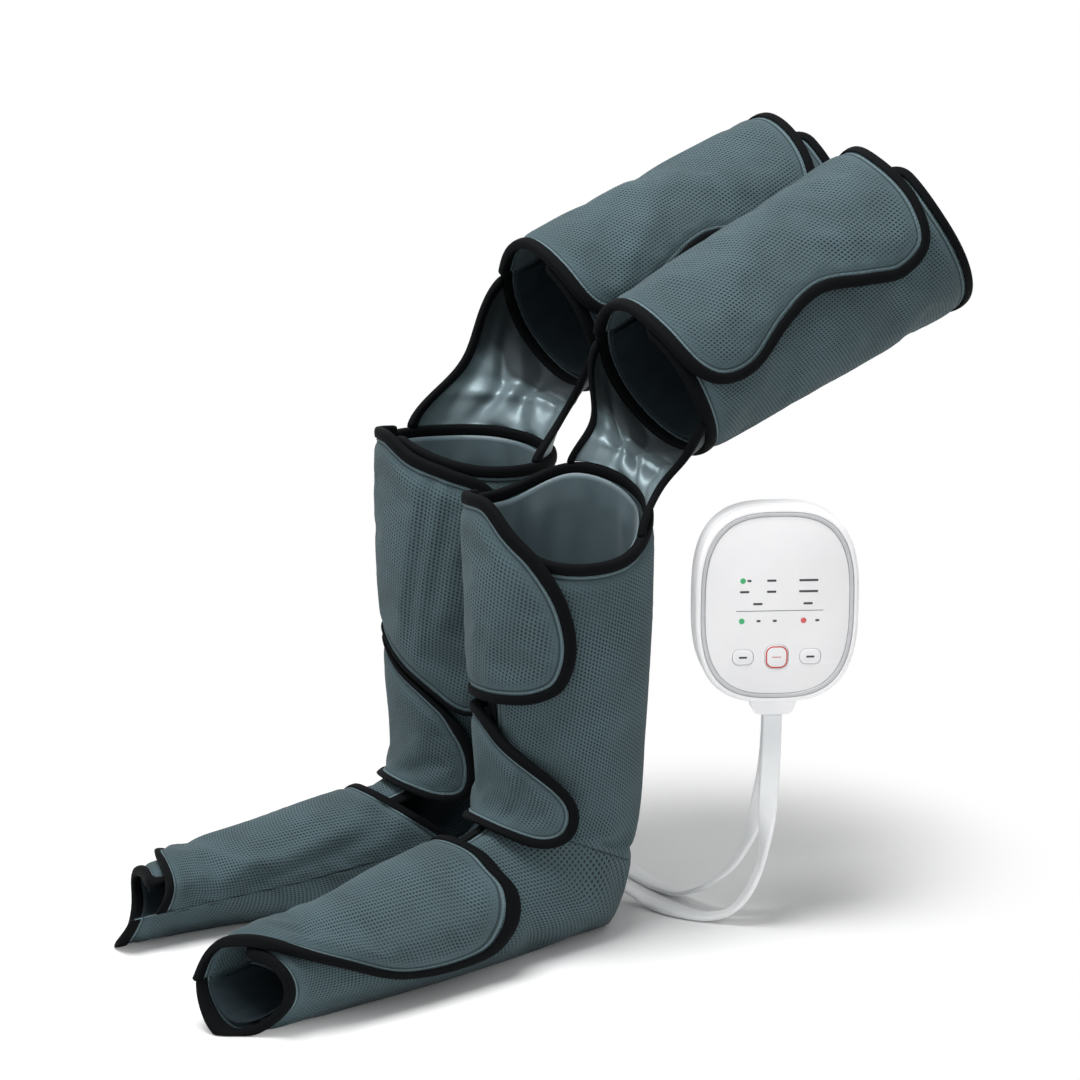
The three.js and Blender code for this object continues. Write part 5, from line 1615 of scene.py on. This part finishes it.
# %% Both legs
FOOT_ROOT_LENGTHS = 6
for leg in LEGS:
    boot, thigh = boot_surface(leg), thigh_surface(leg)
    handed = -math.copysign(1, leg["foot_closure"][0])
    name = leg["name"]
    sleeves = sleeves_of(leg, handed)
    for part, sleeve in sleeves.items():
        sleeve["degree"] = DEGREE[part]
        surface = thigh if part == "thigh" else boot
        body = name + "_thigh" if part == "thigh" else "wraps"
        make_sleeve(f"{name}_{part}", surface, sleeve, body)
        make_sleeve_tape(f"{name}_{part}", surface, sleeve, body)
    # flap: surface, millimetres to a degree, closure, seam that it crosses, body, root's lengths
    flaps = {
        "upper_calf_flap": (boot, DEGREE["calf"], CALF_CLOSURE, 0, "wraps", 1),
        "lower_calf_flap": (boot, DEGREE["calf"], CALF_CLOSURE, ANKLE_SEAM, "wraps", 1),
        "foot_flap": (boot, DEGREE["foot"] * handed, leg["foot_closure"], 0, "wraps", FOOT_ROOT_LENGTHS),
        "thigh_flap": (thigh, DEGREE["thigh"], THIGH_CLOSURE, 0, name + "_thigh", 1),
    }
    for part, (surface, degree, closure, seam, sleeve_body, lengths) in flaps.items():
        flap_name = f"{name}_{part}"
        make_flap(flap_name, surface, degree, closure, leg[part], seam, flap_name)
        make_root_cloth(flap_name, surface, degree, closure, leg[part], seam, (sleeve_body, flap_name),
                        lengths)
    make_knee(leg, boot, thigh, sleeves["calf"]["upper"], sleeves["thigh"]["upper"])
    print(name, "leg made")

# %% [markdown]
# ## Handset
# The housing is two deep shells of white plastic with a soft square outline, a grey ring let into
# the front shell, and a face panel inside the ring. Each piece starts as a small square whose
# corners are bevelled into the outline's curve, scaled to size, and then extruded and drawn in ring
# by ring, as a moulding is lofted.

# %% Handset dimensions
HANDSET_HALF = (65.5, 80.0)
SMOOTH_ANGLE = math.radians(35)
SQUARENESS_PROFILE = 0.62
CORNER_SEGMENTS = 26
HANDSET_MATRIX = (
    Matrix.Translation(HANDSET_PLACE * MM)
    @ Matrix.Rotation(HANDSET_TURN, 4, "Z")
    @ Matrix.Rotation(math.pi / 2, 4, "X")
)
print("handset is", 2 * HANDSET_HALF[0], "by", 2 * HANDSET_HALF[1], "mm")


# %% The soft square outline, and lofting it
def deselect_all():
    for other in bpy.context.scene.objects:
        other.select_set(False)


def start_shape():
    """A unit square with its corners bevelled into a superellipse, open in edit mode."""
    deselect_all()
    bpy.ops.mesh.primitive_plane_add(size=2)
    piece = bpy.context.object
    bpy.ops.object.mode_set(mode="EDIT")
    bpy.ops.mesh.select_all(action="SELECT")
    bpy.ops.mesh.bevel(offset=0.999, segments=CORNER_SEGMENTS, profile=SQUARENESS_PROFILE,
                       affect="VERTICES")
    bpy.ops.mesh.remove_doubles(threshold=1e-4)
    return piece


def loft_shape(name, profile, material):
    """Lofts the outline through (inset, height) rings, in millimetres, and closes both ends."""
    piece = start_shape()
    wide, tall = HANDSET_HALF
    inset, height = profile[0]
    bpy.ops.transform.resize(value=((wide - inset) * MM, (tall - inset) * MM, 1),
                             center_override=(0, 0, 0))
    bpy.ops.transform.translate(value=(0, 0, height * MM))
    for (inset, height), (next_inset, next_height) in zip(profile, profile[1:]):
        bpy.ops.mesh.extrude_region_move(
            TRANSFORM_OT_translate={"value": (0, 0, (next_height - height) * MM)}
        )
        growth = ((wide - next_inset) / (wide - inset), (tall - next_inset) / (tall - inset), 1)
        bpy.ops.transform.resize(value=growth, center_override=(0, 0, next_height * MM))
    bpy.ops.mesh.select_all(action="SELECT")
    bpy.ops.mesh.normals_make_consistent(inside=False)
    bpy.ops.object.mode_set(mode="OBJECT")
    piece.name = piece.data.name = name
    piece.data.materials.append(material)
    return piece


# %% A quarter round, and taking the place on the handset
def round_profile(inset_from, height_from, inset_to, height_to, steps, start_flat):
    """A quarter round between two rings. start_flat says that it leaves along the flat."""
    rings = []
    for k in range(1, steps + 1):
        bend = math.pi / 2 * k / steps
        if start_flat:
            a, b = math.sin(bend), 1 - math.cos(bend)
        else:
            a, b = 1 - math.cos(bend), math.sin(bend)
        rings.append((inset_from + (inset_to - inset_from) * a,
                      height_from + (height_to - height_from) * b))
    return rings


def smooth_by_angle(piece):
    deselect_all()
    piece.select_set(True)
    bpy.context.view_layer.objects.active = piece
    bpy.ops.object.shade_smooth_by_angle(angle=SMOOTH_ANGLE)


def place_on_handset(piece, body="wraps"):
    """Smooths a piece by angle, and puts its place into its mesh."""
    smooth_by_angle(piece)
    piece.data.transform(HANDSET_MATRIX)
    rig.ride(piece, body)


# %% Back shell
BACK_DEPTH = 25
FRONT_DEPTH = 13
WALL = 2.4
PARTING_GAP = 0.3        # between the two shells
RIM_CHAMFER = 0.4
BACK_ROUND, FRONT_ROUND = 9, 3.6
back_profile = [
    (BACK_ROUND, -BACK_DEPTH + WALL),
    *round_profile(BACK_ROUND, -BACK_DEPTH + WALL, WALL, -BACK_DEPTH + BACK_ROUND, 5, True),
    (WALL, 0),
    (RIM_CHAMFER, 0),
    (0, -RIM_CHAMFER),
    (0, -BACK_DEPTH + BACK_ROUND),
    *round_profile(0, -BACK_DEPTH + BACK_ROUND, BACK_ROUND, -BACK_DEPTH, 8, False),
]
back_shell = loft_shape("back_shell", back_profile, SHELL)
print("back shell of", len(back_profile), "rings")

# %% Front shell with the ring's recess
RECESS_FLOOR = FRONT_DEPTH - 3
RECESS_INSET = FRONT_ROUND + 0.6
PLATE_BOTTOM = RECESS_FLOOR - WALL
front_profile = [
    (FRONT_ROUND, PLATE_BOTTOM),
    (WALL, PLATE_BOTTOM - FRONT_ROUND + WALL),
    (WALL, PARTING_GAP),
    (RIM_CHAMFER, PARTING_GAP),
    (0, PARTING_GAP + RIM_CHAMFER),
    (0, FRONT_DEPTH - FRONT_ROUND),
    *round_profile(0, FRONT_DEPTH - FRONT_ROUND, FRONT_ROUND, FRONT_DEPTH, 6, False),
    (RECESS_INSET, FRONT_DEPTH),
    (RECESS_INSET, RECESS_FLOOR),
]
front_shell = loft_shape("front_shell", front_profile, SHELL)
print("front shell of", len(front_profile), "rings")

# %% Face panel inside the ring
RING_WIDTH = 3.2
SEAT_GAP = 0.3           # between two pieces that seat on each other
FACE_INSET = RECESS_INSET + SEAT_GAP + RING_WIDTH + SEAT_GAP
FACE_TOP = RECESS_FLOOR + SEAT_GAP + 2.4
face_sheet = loft_shape("face_sheet", [
    (FACE_INSET, RECESS_FLOOR + SEAT_GAP),
    (FACE_INSET, FACE_TOP - 0.5),
    (FACE_INSET + 0.15, FACE_TOP - 0.15),
    (FACE_INSET + 0.5, FACE_TOP),
], FACE)
print("face panel stands", round(FACE_TOP - RECESS_FLOOR, 1), "mm above the recess")


# %% Trim ring: a rounded band, lofted out and back in
def loft_band(name, profile, material):
    """A closed band: the profile's rings are bridged from the last back to the first."""
    piece = loft_shape(name, profile, material)
    shape = bmesh.new()
    shape.from_mesh(piece.data)
    caps = [face for face in shape.faces if len(face.verts) > 8]
    bmesh.ops.delete(shape, geom=caps, context="FACES_ONLY")
    edges = [edge for edge in shape.edges if edge.is_boundary]
    bmesh.ops.bridge_loops(shape, edges=edges)
    bmesh.ops.recalc_face_normals(shape, faces=shape.faces)
    shape.to_mesh(piece.data)
    shape.free()
    return piece


RING_OUTER = RECESS_INSET + SEAT_GAP
ring_band = loft_band("grey_band", [
    (RING_OUTER + RING_WIDTH, RECESS_FLOOR + SEAT_GAP),
    (RING_OUTER, RECESS_FLOOR + SEAT_GAP),
    (RING_OUTER, FRONT_DEPTH - 0.5),
    (RING_OUTER + 0.3, FRONT_DEPTH - 0.05),
    (RING_OUTER + 0.9, FRONT_DEPTH + 0.2),
    (RING_OUTER + 2.3, FRONT_DEPTH + 0.2),
    (RING_OUTER + 2.9, FRONT_DEPTH - 0.05),
    (RING_OUTER + RING_WIDTH, FRONT_DEPTH - 0.5),
], RING)
print("trim ring is", RING_WIDTH, "mm wide")

# %% [markdown]
# ### Keys, holes and marks
# Three silicone keys stand a little out of the face, each in its own hole. On the face are plain
# lamp dots and bars in rows, and a fine line between the two groups. Each key carries a short dash,
# and the middle one an outline too. Each is a rounded block or band: a square with bevelled
# corners, extruded, with its rim rounded off.

# %% Rounded blocks and bands
KEY_PITCH, KEY_DROP = 27, 42
KEY_LOW, KEY_TOP = 6.9, 13.5
KEY_GAP = 0.4
MARK_TOP = FACE_TOP + 0.07


def square_start(half, corner):
    """A flat shape with rounded corners, open in edit mode. Sizes are half sizes in millimetres."""
    deselect_all()
    bpy.ops.mesh.primitive_plane_add(size=2 * MM)
    piece = bpy.context.object
    bpy.ops.object.mode_set(mode="EDIT")
    bpy.ops.mesh.select_all(action="SELECT")
    bpy.ops.transform.resize(value=(half[0], half[1], 1), center_override=(0, 0, 0))
    bpy.ops.mesh.bevel(offset=corner * MM, segments=8, affect="VERTICES")
    bpy.ops.mesh.remove_doubles(threshold=1e-6)
    return piece


def close_shape(piece, name, material):
    bpy.ops.mesh.select_all(action="SELECT")
    bpy.ops.mesh.normals_make_consistent(inside=False)
    bpy.ops.object.mode_set(mode="OBJECT")
    piece.name = piece.data.name = name
    piece.data.materials.append(material)
    return piece


def rounded_block(name, half, corner, low, high, rim, material):
    piece = square_start(half, corner)
    bpy.ops.transform.translate(value=(0, 0, low * MM))
    bpy.ops.mesh.extrude_region_move(TRANSFORM_OT_translate={"value": (0, 0, (high - low) * MM)})
    if rim:
        bpy.ops.mesh.bevel(offset=rim * MM, segments=3, affect="EDGES")
    return close_shape(piece, name, material)


def outline_band(name, half, corner, width, low, high, material):
    piece = square_start(half, corner)
    bpy.ops.transform.translate(value=(0, 0, low * MM))
    bpy.ops.mesh.inset(thickness=width * MM)
    bpy.ops.mesh.delete(type="FACE")
    bpy.ops.mesh.select_all(action="SELECT")
    bpy.ops.mesh.extrude_region_move(TRANSFORM_OT_translate={"value": (0, 0, (high - low) * MM)})
    return close_shape(piece, name, material)


# %% Copies and cuts
def shifted(piece, x, y):
    piece.data.transform(Matrix.Translation((x * MM, y * MM, 0)))
    return piece


def copy_of(piece, name, material):
    twin = piece.copy()
    twin.data = piece.data.copy()
    twin.name = twin.data.name = name
    twin.data.materials.clear()
    twin.data.materials.append(material)
    bpy.context.scene.collection.objects.link(twin)
    return twin


def combine(piece, others, operation):
    """Cuts the others out of a piece, or adds them to it, and takes them away."""
    for other in others:
        modifier = piece.modifiers.new("combine", "BOOLEAN")
        modifier.operation = operation
        modifier.object = other
        deselect_all()
        bpy.context.view_layer.objects.active = piece
        bpy.ops.object.modifier_apply(modifier="combine")
        bpy.data.objects.remove(other, do_unlink=True)


# %% Keys and their holes
CUTTER_HEIGHT = 20
MARK_SUNK, MARK_PROUD = 0.1, 0.04   # how far a key's print reaches in, and stands out

# Place across the face, half width and half height, and corner
KEYS = {
    "mode_key": (-KEY_PITCH, (8.25, 6), 4.8),
    "power_key": (0, (9.25, 9.5), 6.5),
    "heat_key": (KEY_PITCH, (8.25, 6), 4.8),
}
for node, (x, half, corner) in KEYS.items():
    hole = (half[0] + KEY_GAP, half[1] + KEY_GAP)
    for plate in (front_shell, face_sheet):
        cutter = rounded_block("cutter", hole, corner + KEY_GAP, 0, CUTTER_HEIGHT, 0, FACE)
        combine(plate, [shifted(cutter, x, -KEY_DROP)], "DIFFERENCE")
    cap = rounded_block(node + "_cap", half, corner, KEY_LOW, KEY_TOP, rim=0.7, material=KEY)
    place_on_handset(shifted(cap, x, -KEY_DROP), node)
    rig.replaces(cap, node)
    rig.slot(cap, "key")
    red = node == "power_key"
    if red:
        ring = outline_band(node + "_outline", (half[0] - 0.5, half[1] - 0.5), corner - 0.4, 1.1,
                            KEY_TOP - 0.25, KEY_TOP + MARK_PROUD, MARK_RED)
        place_on_handset(shifted(ring, x, -KEY_DROP), node)
        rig.slot(ring, "key")
    dash = rounded_block(node + "_dash", (3.8, 0.3) if red else (3.2, 0.8), 0.28,
                         KEY_TOP - MARK_SUNK, KEY_TOP + MARK_PROUD, 0, MARK_RED if red else MARK_GREY)
    place_on_handset(shifted(dash, x, -KEY_DROP), node)
    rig.slot(dash, "key")
print("keys made")

# %% Lamp dots, plain bars and the fine line
# Places on the face, from its middle. A kind of bar also has its half length.
LAMPS = [(-27.9, 20.4, LAMP_GREEN), (-28.4, -12.4, LAMP_GREEN), (21, -12.4, LAMP_RED)]
BARS = {
    "short": (1.6, [(-22.8, 20.4), (-15, -12.4), (-2, -12.4), (32, -12.4)]),
    "middle": (3.7, [(-5, 20.4), (-26.5, 11.4), (-5, 11.4), (-15.8, 1.5), (24.3, 1.5)]),
    "long": (7.6, [(24.5, 20.4), (24.5, 11.4)]),
}


def mark_face(name, half, corner, material, places):
    """One raised mark, copied to each of its places on the face."""
    mark = rounded_block(name, half, corner, FACE_TOP - 0.3, MARK_TOP, 0.04, material)
    for number, (x, y, own) in enumerate(places, 1):
        twin = shifted(copy_of(mark, f"{name}_{number}", own), x, y)
        place_on_handset(twin)
        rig.slot(twin, "face")
    bpy.data.objects.remove(mark, do_unlink=True)


mark_face("lamp_dot", (2.3, 2.3), 2.29, LAMP_GREEN, LAMPS)
for kind, (half, places) in BARS.items():
    mark_face(kind + "_bar", (half, 0.9), 0.6, MARK_GREY, [(x, y, MARK_GREY) for x, y in places])
mark_face("face_line", (34.8, 0.25), 0.2, MARK_GREY, [(1.8, -4.2, MARK_GREY)])
print(len(LAMPS), "lamps")

# %% [markdown]
# ### Power socket and gland
# The power socket is a small round insert in the back shell's side. Below the housing a tapered
# white gland grips both hoses. The socket is a cylinder with its end inset and pushed in, and the
# gland a flat trapezoid with rounded lower corners, extruded and bevelled.


# %% Faces picked by their place
def pick_faces(test):
    """Selects the faces of the mesh in edit mode whose middle passes the test."""
    shape = bmesh.from_edit_mesh(bpy.context.object.data)
    bpy.ops.mesh.select_all(action="DESELECT")
    for face in shape.faces:
        face.select = test(face.calc_center_median() / MM)
    shape.select_flush(True)
    bmesh.update_edit_mesh(bpy.context.object.data)


# %% Power socket
INLET_RADIUS, INLET_BORE, INLET_LENGTH = 5.5, 2.8, 12
INLET_CHAMFER, INLET_FLOOR, INLET_GAP = 0.5, 2.4, 0.3
INLET_PLACE = (Matrix.Translation(Vector((HANDSET_HALF[0], -24, -8)) * MM)
               @ Matrix.Rotation(math.pi / 2, 4, "Y"))
deselect_all()
bpy.ops.mesh.primitive_cylinder_add(vertices=48, radius=INLET_RADIUS * MM, depth=INLET_LENGTH * MM,
                                    location=(0, 0, 0))
socket = bpy.context.object
bpy.ops.object.mode_set(mode="EDIT")
pick_faces(lambda middle: middle.z > INLET_LENGTH / 2 - 0.1)
bpy.ops.mesh.bevel(offset=INLET_CHAMFER * MM, segments=3, affect="EDGES")
bpy.ops.mesh.inset(thickness=(INLET_RADIUS - INLET_BORE - INLET_CHAMFER) * MM)
bpy.ops.mesh.extrude_region_move(
    TRANSFORM_OT_translate={"value": (0, 0, -(INLET_LENGTH - INLET_FLOOR) * MM)}
)
close_shape(socket, "power_socket", RUBBER)
socket.data.transform(INLET_PLACE @ Matrix.Translation((0, 0, -INLET_LENGTH / 2 * MM)))
place_on_handset(socket)
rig.replaces(socket, "power_inlet")
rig.slot(socket, "silicone")

deselect_all()
bpy.ops.mesh.primitive_cylinder_add(vertices=48, radius=(INLET_RADIUS + INLET_GAP) * MM,
                                    depth=CUTTER_HEIGHT * MM)
bore = bpy.context.object
bore.data.transform(INLET_PLACE)
combine(back_shell, [bore], "DIFFERENCE")
print("power socket made")

# %% Hose gland
GLAND_TOP, GLAND_HALF, GLAND_LOW_HALF, GLAND_DEPTH = -80.3, 19, 15.5, 15
GLAND_CORNER, GLAND_EDGE = 5, 1.4
deselect_all()
bpy.ops.mesh.primitive_plane_add(size=2 * MM)
gland = bpy.context.object
bpy.ops.object.mode_set(mode="EDIT")
bpy.ops.transform.resize(value=(GLAND_HALF, (GLAND_TOP - GLAND_BOTTOM) / 2, 1), center_override=(0, 0, 0))
bpy.ops.transform.translate(value=(0, (GLAND_TOP + GLAND_BOTTOM) / 2 * MM,
                                   (GLAND_MIDDLE - GLAND_DEPTH / 2) * MM))
shape = bmesh.from_edit_mesh(gland.data)
for vert in shape.verts:
    vert.select = vert.co.y / MM < GLAND_BOTTOM + 1
shape.select_flush(False)
bmesh.update_edit_mesh(gland.data)
bpy.ops.transform.resize(value=(GLAND_LOW_HALF / GLAND_HALF, 1, 1), center_override=(0, 0, 0))
bpy.ops.mesh.bevel(offset=GLAND_CORNER * MM, segments=7, affect="VERTICES")
bpy.ops.mesh.select_all(action="SELECT")
bpy.ops.mesh.extrude_region_move(TRANSFORM_OT_translate={"value": (0, 0, GLAND_DEPTH * MM)})
pick_faces(lambda middle: abs(abs(middle.z - GLAND_MIDDLE) - GLAND_DEPTH / 2) < 0.1)
bpy.ops.mesh.bevel(offset=GLAND_EDGE * MM, segments=4, affect="EDGES")
close_shape(gland, "hose_grip", SHELL)
place_on_handset(gland)
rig.replaces(gland, "hose_gland")
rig.slot(gland, "shell")
print("hose gland made")

# %% Housing pieces take their place
for piece, node, slot in ((back_shell, "back_case", "shell"), (front_shell, "front_case", "shell"),
                          (face_sheet, "face_panel", "face"), (ring_band, "trim_ring", "ring")):
    place_on_handset(piece)
    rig.replaces(piece, node)
    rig.slot(piece, slot)
    print(piece.name, len(piece.data.polygons), "faces")

# %% [markdown]
# ### Heel ports
# Each hose ends in a moulded port on the heel: a flange sewn to the cloth, and a flat socket that
# stands straight back. The socket is cut off along the flange, and the two are joined.


# %% Heel ports
def standing_on(seat, outward):
    """Turns a shape's own Z to the outward direction, and moves its middle to the seat."""
    side = UPRIGHT.cross(outward).normalized()
    place = Matrix((side, outward.cross(side), outward)).transposed().to_4x4()
    place.translation = seat * MM
    return place


# The way that the heel's cloth faces
HEEL_FACES = {"left": (-0.309, 0.863, -0.399), "right": (-0.035, 0.916, -0.400)}
PORT_DEPTH = 12
PORT_LIFT = 0.3          # off the cloth, and off the hose's end
PORT_CUT = 1.2           # above the cloth, inside the flange
for leg, hose in zip(LEGS, HOSES):
    name = leg["name"]
    back = Matrix.Rotation(math.radians(leg["toe_out"]), 3, "Z") @ Vector((0, 1, 0))
    seat = Vector(hose["port"][-1]) - back * (PORT_DEPTH + PORT_LIFT)
    normal = Vector(HEEL_FACES[name]).normalized()
    flange = rounded_block("flange", half=(13, 9), corner=4, low=PORT_LIFT, high=2.7, rim=0.8,
                           material=SHELL)
    flange.data.transform(standing_on(seat, normal))
    socket = rounded_block(name + "_port_socket", half=(10, 4), corner=3.2, low=-6, high=PORT_DEPTH,
                           rim=0.9, material=SHELL)
    socket.data.transform(standing_on(seat, back))
    deselect_all()
    bpy.context.view_layer.objects.active = socket
    bpy.ops.object.mode_set(mode="EDIT")
    bpy.ops.mesh.select_all(action="SELECT")
    bpy.ops.mesh.bisect(plane_co=(seat + normal * PORT_CUT) * MM, plane_no=normal, use_fill=True,
                        clear_inner=True)
    bpy.ops.object.mode_set(mode="OBJECT")
    combine(socket, [flange], "UNION")
    smooth_by_angle(socket)
    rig.ride(socket, "wraps")
    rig.replaces(socket, name + "_heel_port")
    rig.slot(socket, "shell")
print("heel ports made")

# %% [markdown]
# ## Finishes of the CAD nodes that stay
# The rigid nodes that already have their right shape only get a better finish.

# %% Finishes on CAD nodes
CAD_FINISHES = {
    "key_pad": RUBBER, "circuit_board": BOARD, "air_pump": METAL, "valve_block": RUBBER,
}
for node, material in CAD_FINISHES.items():
    data = frame["nodes"][node].data
    data.materials.clear()
    data.materials.append(material)
print("finished", ", ".join(CAD_FINISHES))

# %% [markdown]
# ## Studio
# A plain white floor carries the object's soft shadow, and fades into the white background away from
# it. Large soft lamps stand above and to both sides, and the world gives an even fill. Its full
# white is what the camera and the reflections see.

# %% Floor
SHADOW_FADES_FROM, SHADOW_GONE_AT = 0.2, 0.4   # metres from the object's middle
FLOOR_SIZE, FLOOR_DROP = 14, 0.5 * MM
deselect_all()
bpy.ops.mesh.primitive_plane_add(size=FLOOR_SIZE, location=(0, 0, -FLOOR_DROP))
floor = bpy.context.object
floor.name = "studio_floor"
floor_material, floor_shader = finish_of("floor_white", "f4f4f4", 0.9)
g = Graph(floor_material)
rays = g.add("ShaderNodeLightPath")
away = g.add("ShaderNodeVectorMath", operation="LENGTH")
g.feed(away.inputs[0], g.place(g.object(), scale=(1, 0.75, 1)))
faded = g.spread(away.outputs["Value"], SHADOW_FADES_FROM, SHADOW_GONE_AT)
fade = g.math("MULTIPLY", faded, rays.outputs["Is Camera Ray"])
glow = g.add("ShaderNodeEmission")
glow.inputs["Color"].default_value = (1, 1, 1, 1)
glow.inputs["Strength"].default_value = 1.0
blend = g.add("ShaderNodeMixShader")
g.feed(blend.inputs["Fac"], fade)
g.feed(blend.inputs[1], floor_shader.outputs["BSDF"])
g.feed(blend.inputs[2], glow.outputs["Emission"])
g.feed(floor_material.node_tree.nodes["Material Output"].inputs["Surface"], blend.outputs["Shader"])
floor.data.materials.append(floor_material)
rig.stage(floor)
print("floor ready")

# %% World
FILL_LIGHT = 0.42
world = bpy.data.worlds.new("studio")
bpy.context.scene.world = world
world.use_nodes = True
world_graph = Graph(world)
background = world.node_tree.nodes["Background"]
background.inputs["Color"].default_value = (1, 1, 1, 1)
rays = world_graph.add("ShaderNodeLightPath")
seen = world_graph.math("MAXIMUM", rays.outputs["Is Camera Ray"], rays.outputs["Is Glossy Ray"])
seen = world_graph.math("MAXIMUM", seen, rays.outputs["Is Transmission Ray"])
world_graph.feed(background.inputs["Strength"], world_graph.spread(seen, 0, 1, FILL_LIGHT, 1.0))
print("world gives", FILL_LIGHT)


# %% Lamps
def add_lamp(name, place, aim, size, power):
    data = bpy.data.lights.new(name, "AREA")
    data.shape = "DISK"
    data.size = size
    data.energy = power
    lamp = bpy.data.objects.new(name, data)
    bpy.context.scene.collection.objects.link(lamp)
    lamp.location = place
    lamp.rotation_mode = "QUATERNION"
    lamp.rotation_quaternion = (Vector(aim) - Vector(place)).to_track_quat("-Z", "Y")


add_lamp("top_lamp", (0.1, -0.5, 2.4), (0, 0, 0.3), 1.3, 60)
add_lamp("left_lamp", (0.2, -2.4, 1.5), (0, 0, 0.3), 2.4, 10)
add_lamp("right_lamp", (2.4, 0.9, 1.3), (0.1, 0.1, 0.3), 1.2, 4.5)
bpy.context.scene.view_settings.view_transform = "Standard"
print("studio ready")

# %% Sizes of the CAD box and of the visual model
low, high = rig.bounds()
with open("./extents.json", "w") as size_file:
    json.dump({
        "cad": [list(cad_low), list(cad_high)],
        "visual": [list(low), list(high)],
    }, size_file)
print("visual box", [round(c, 3) for c in low], [round(c, 3) for c in high])
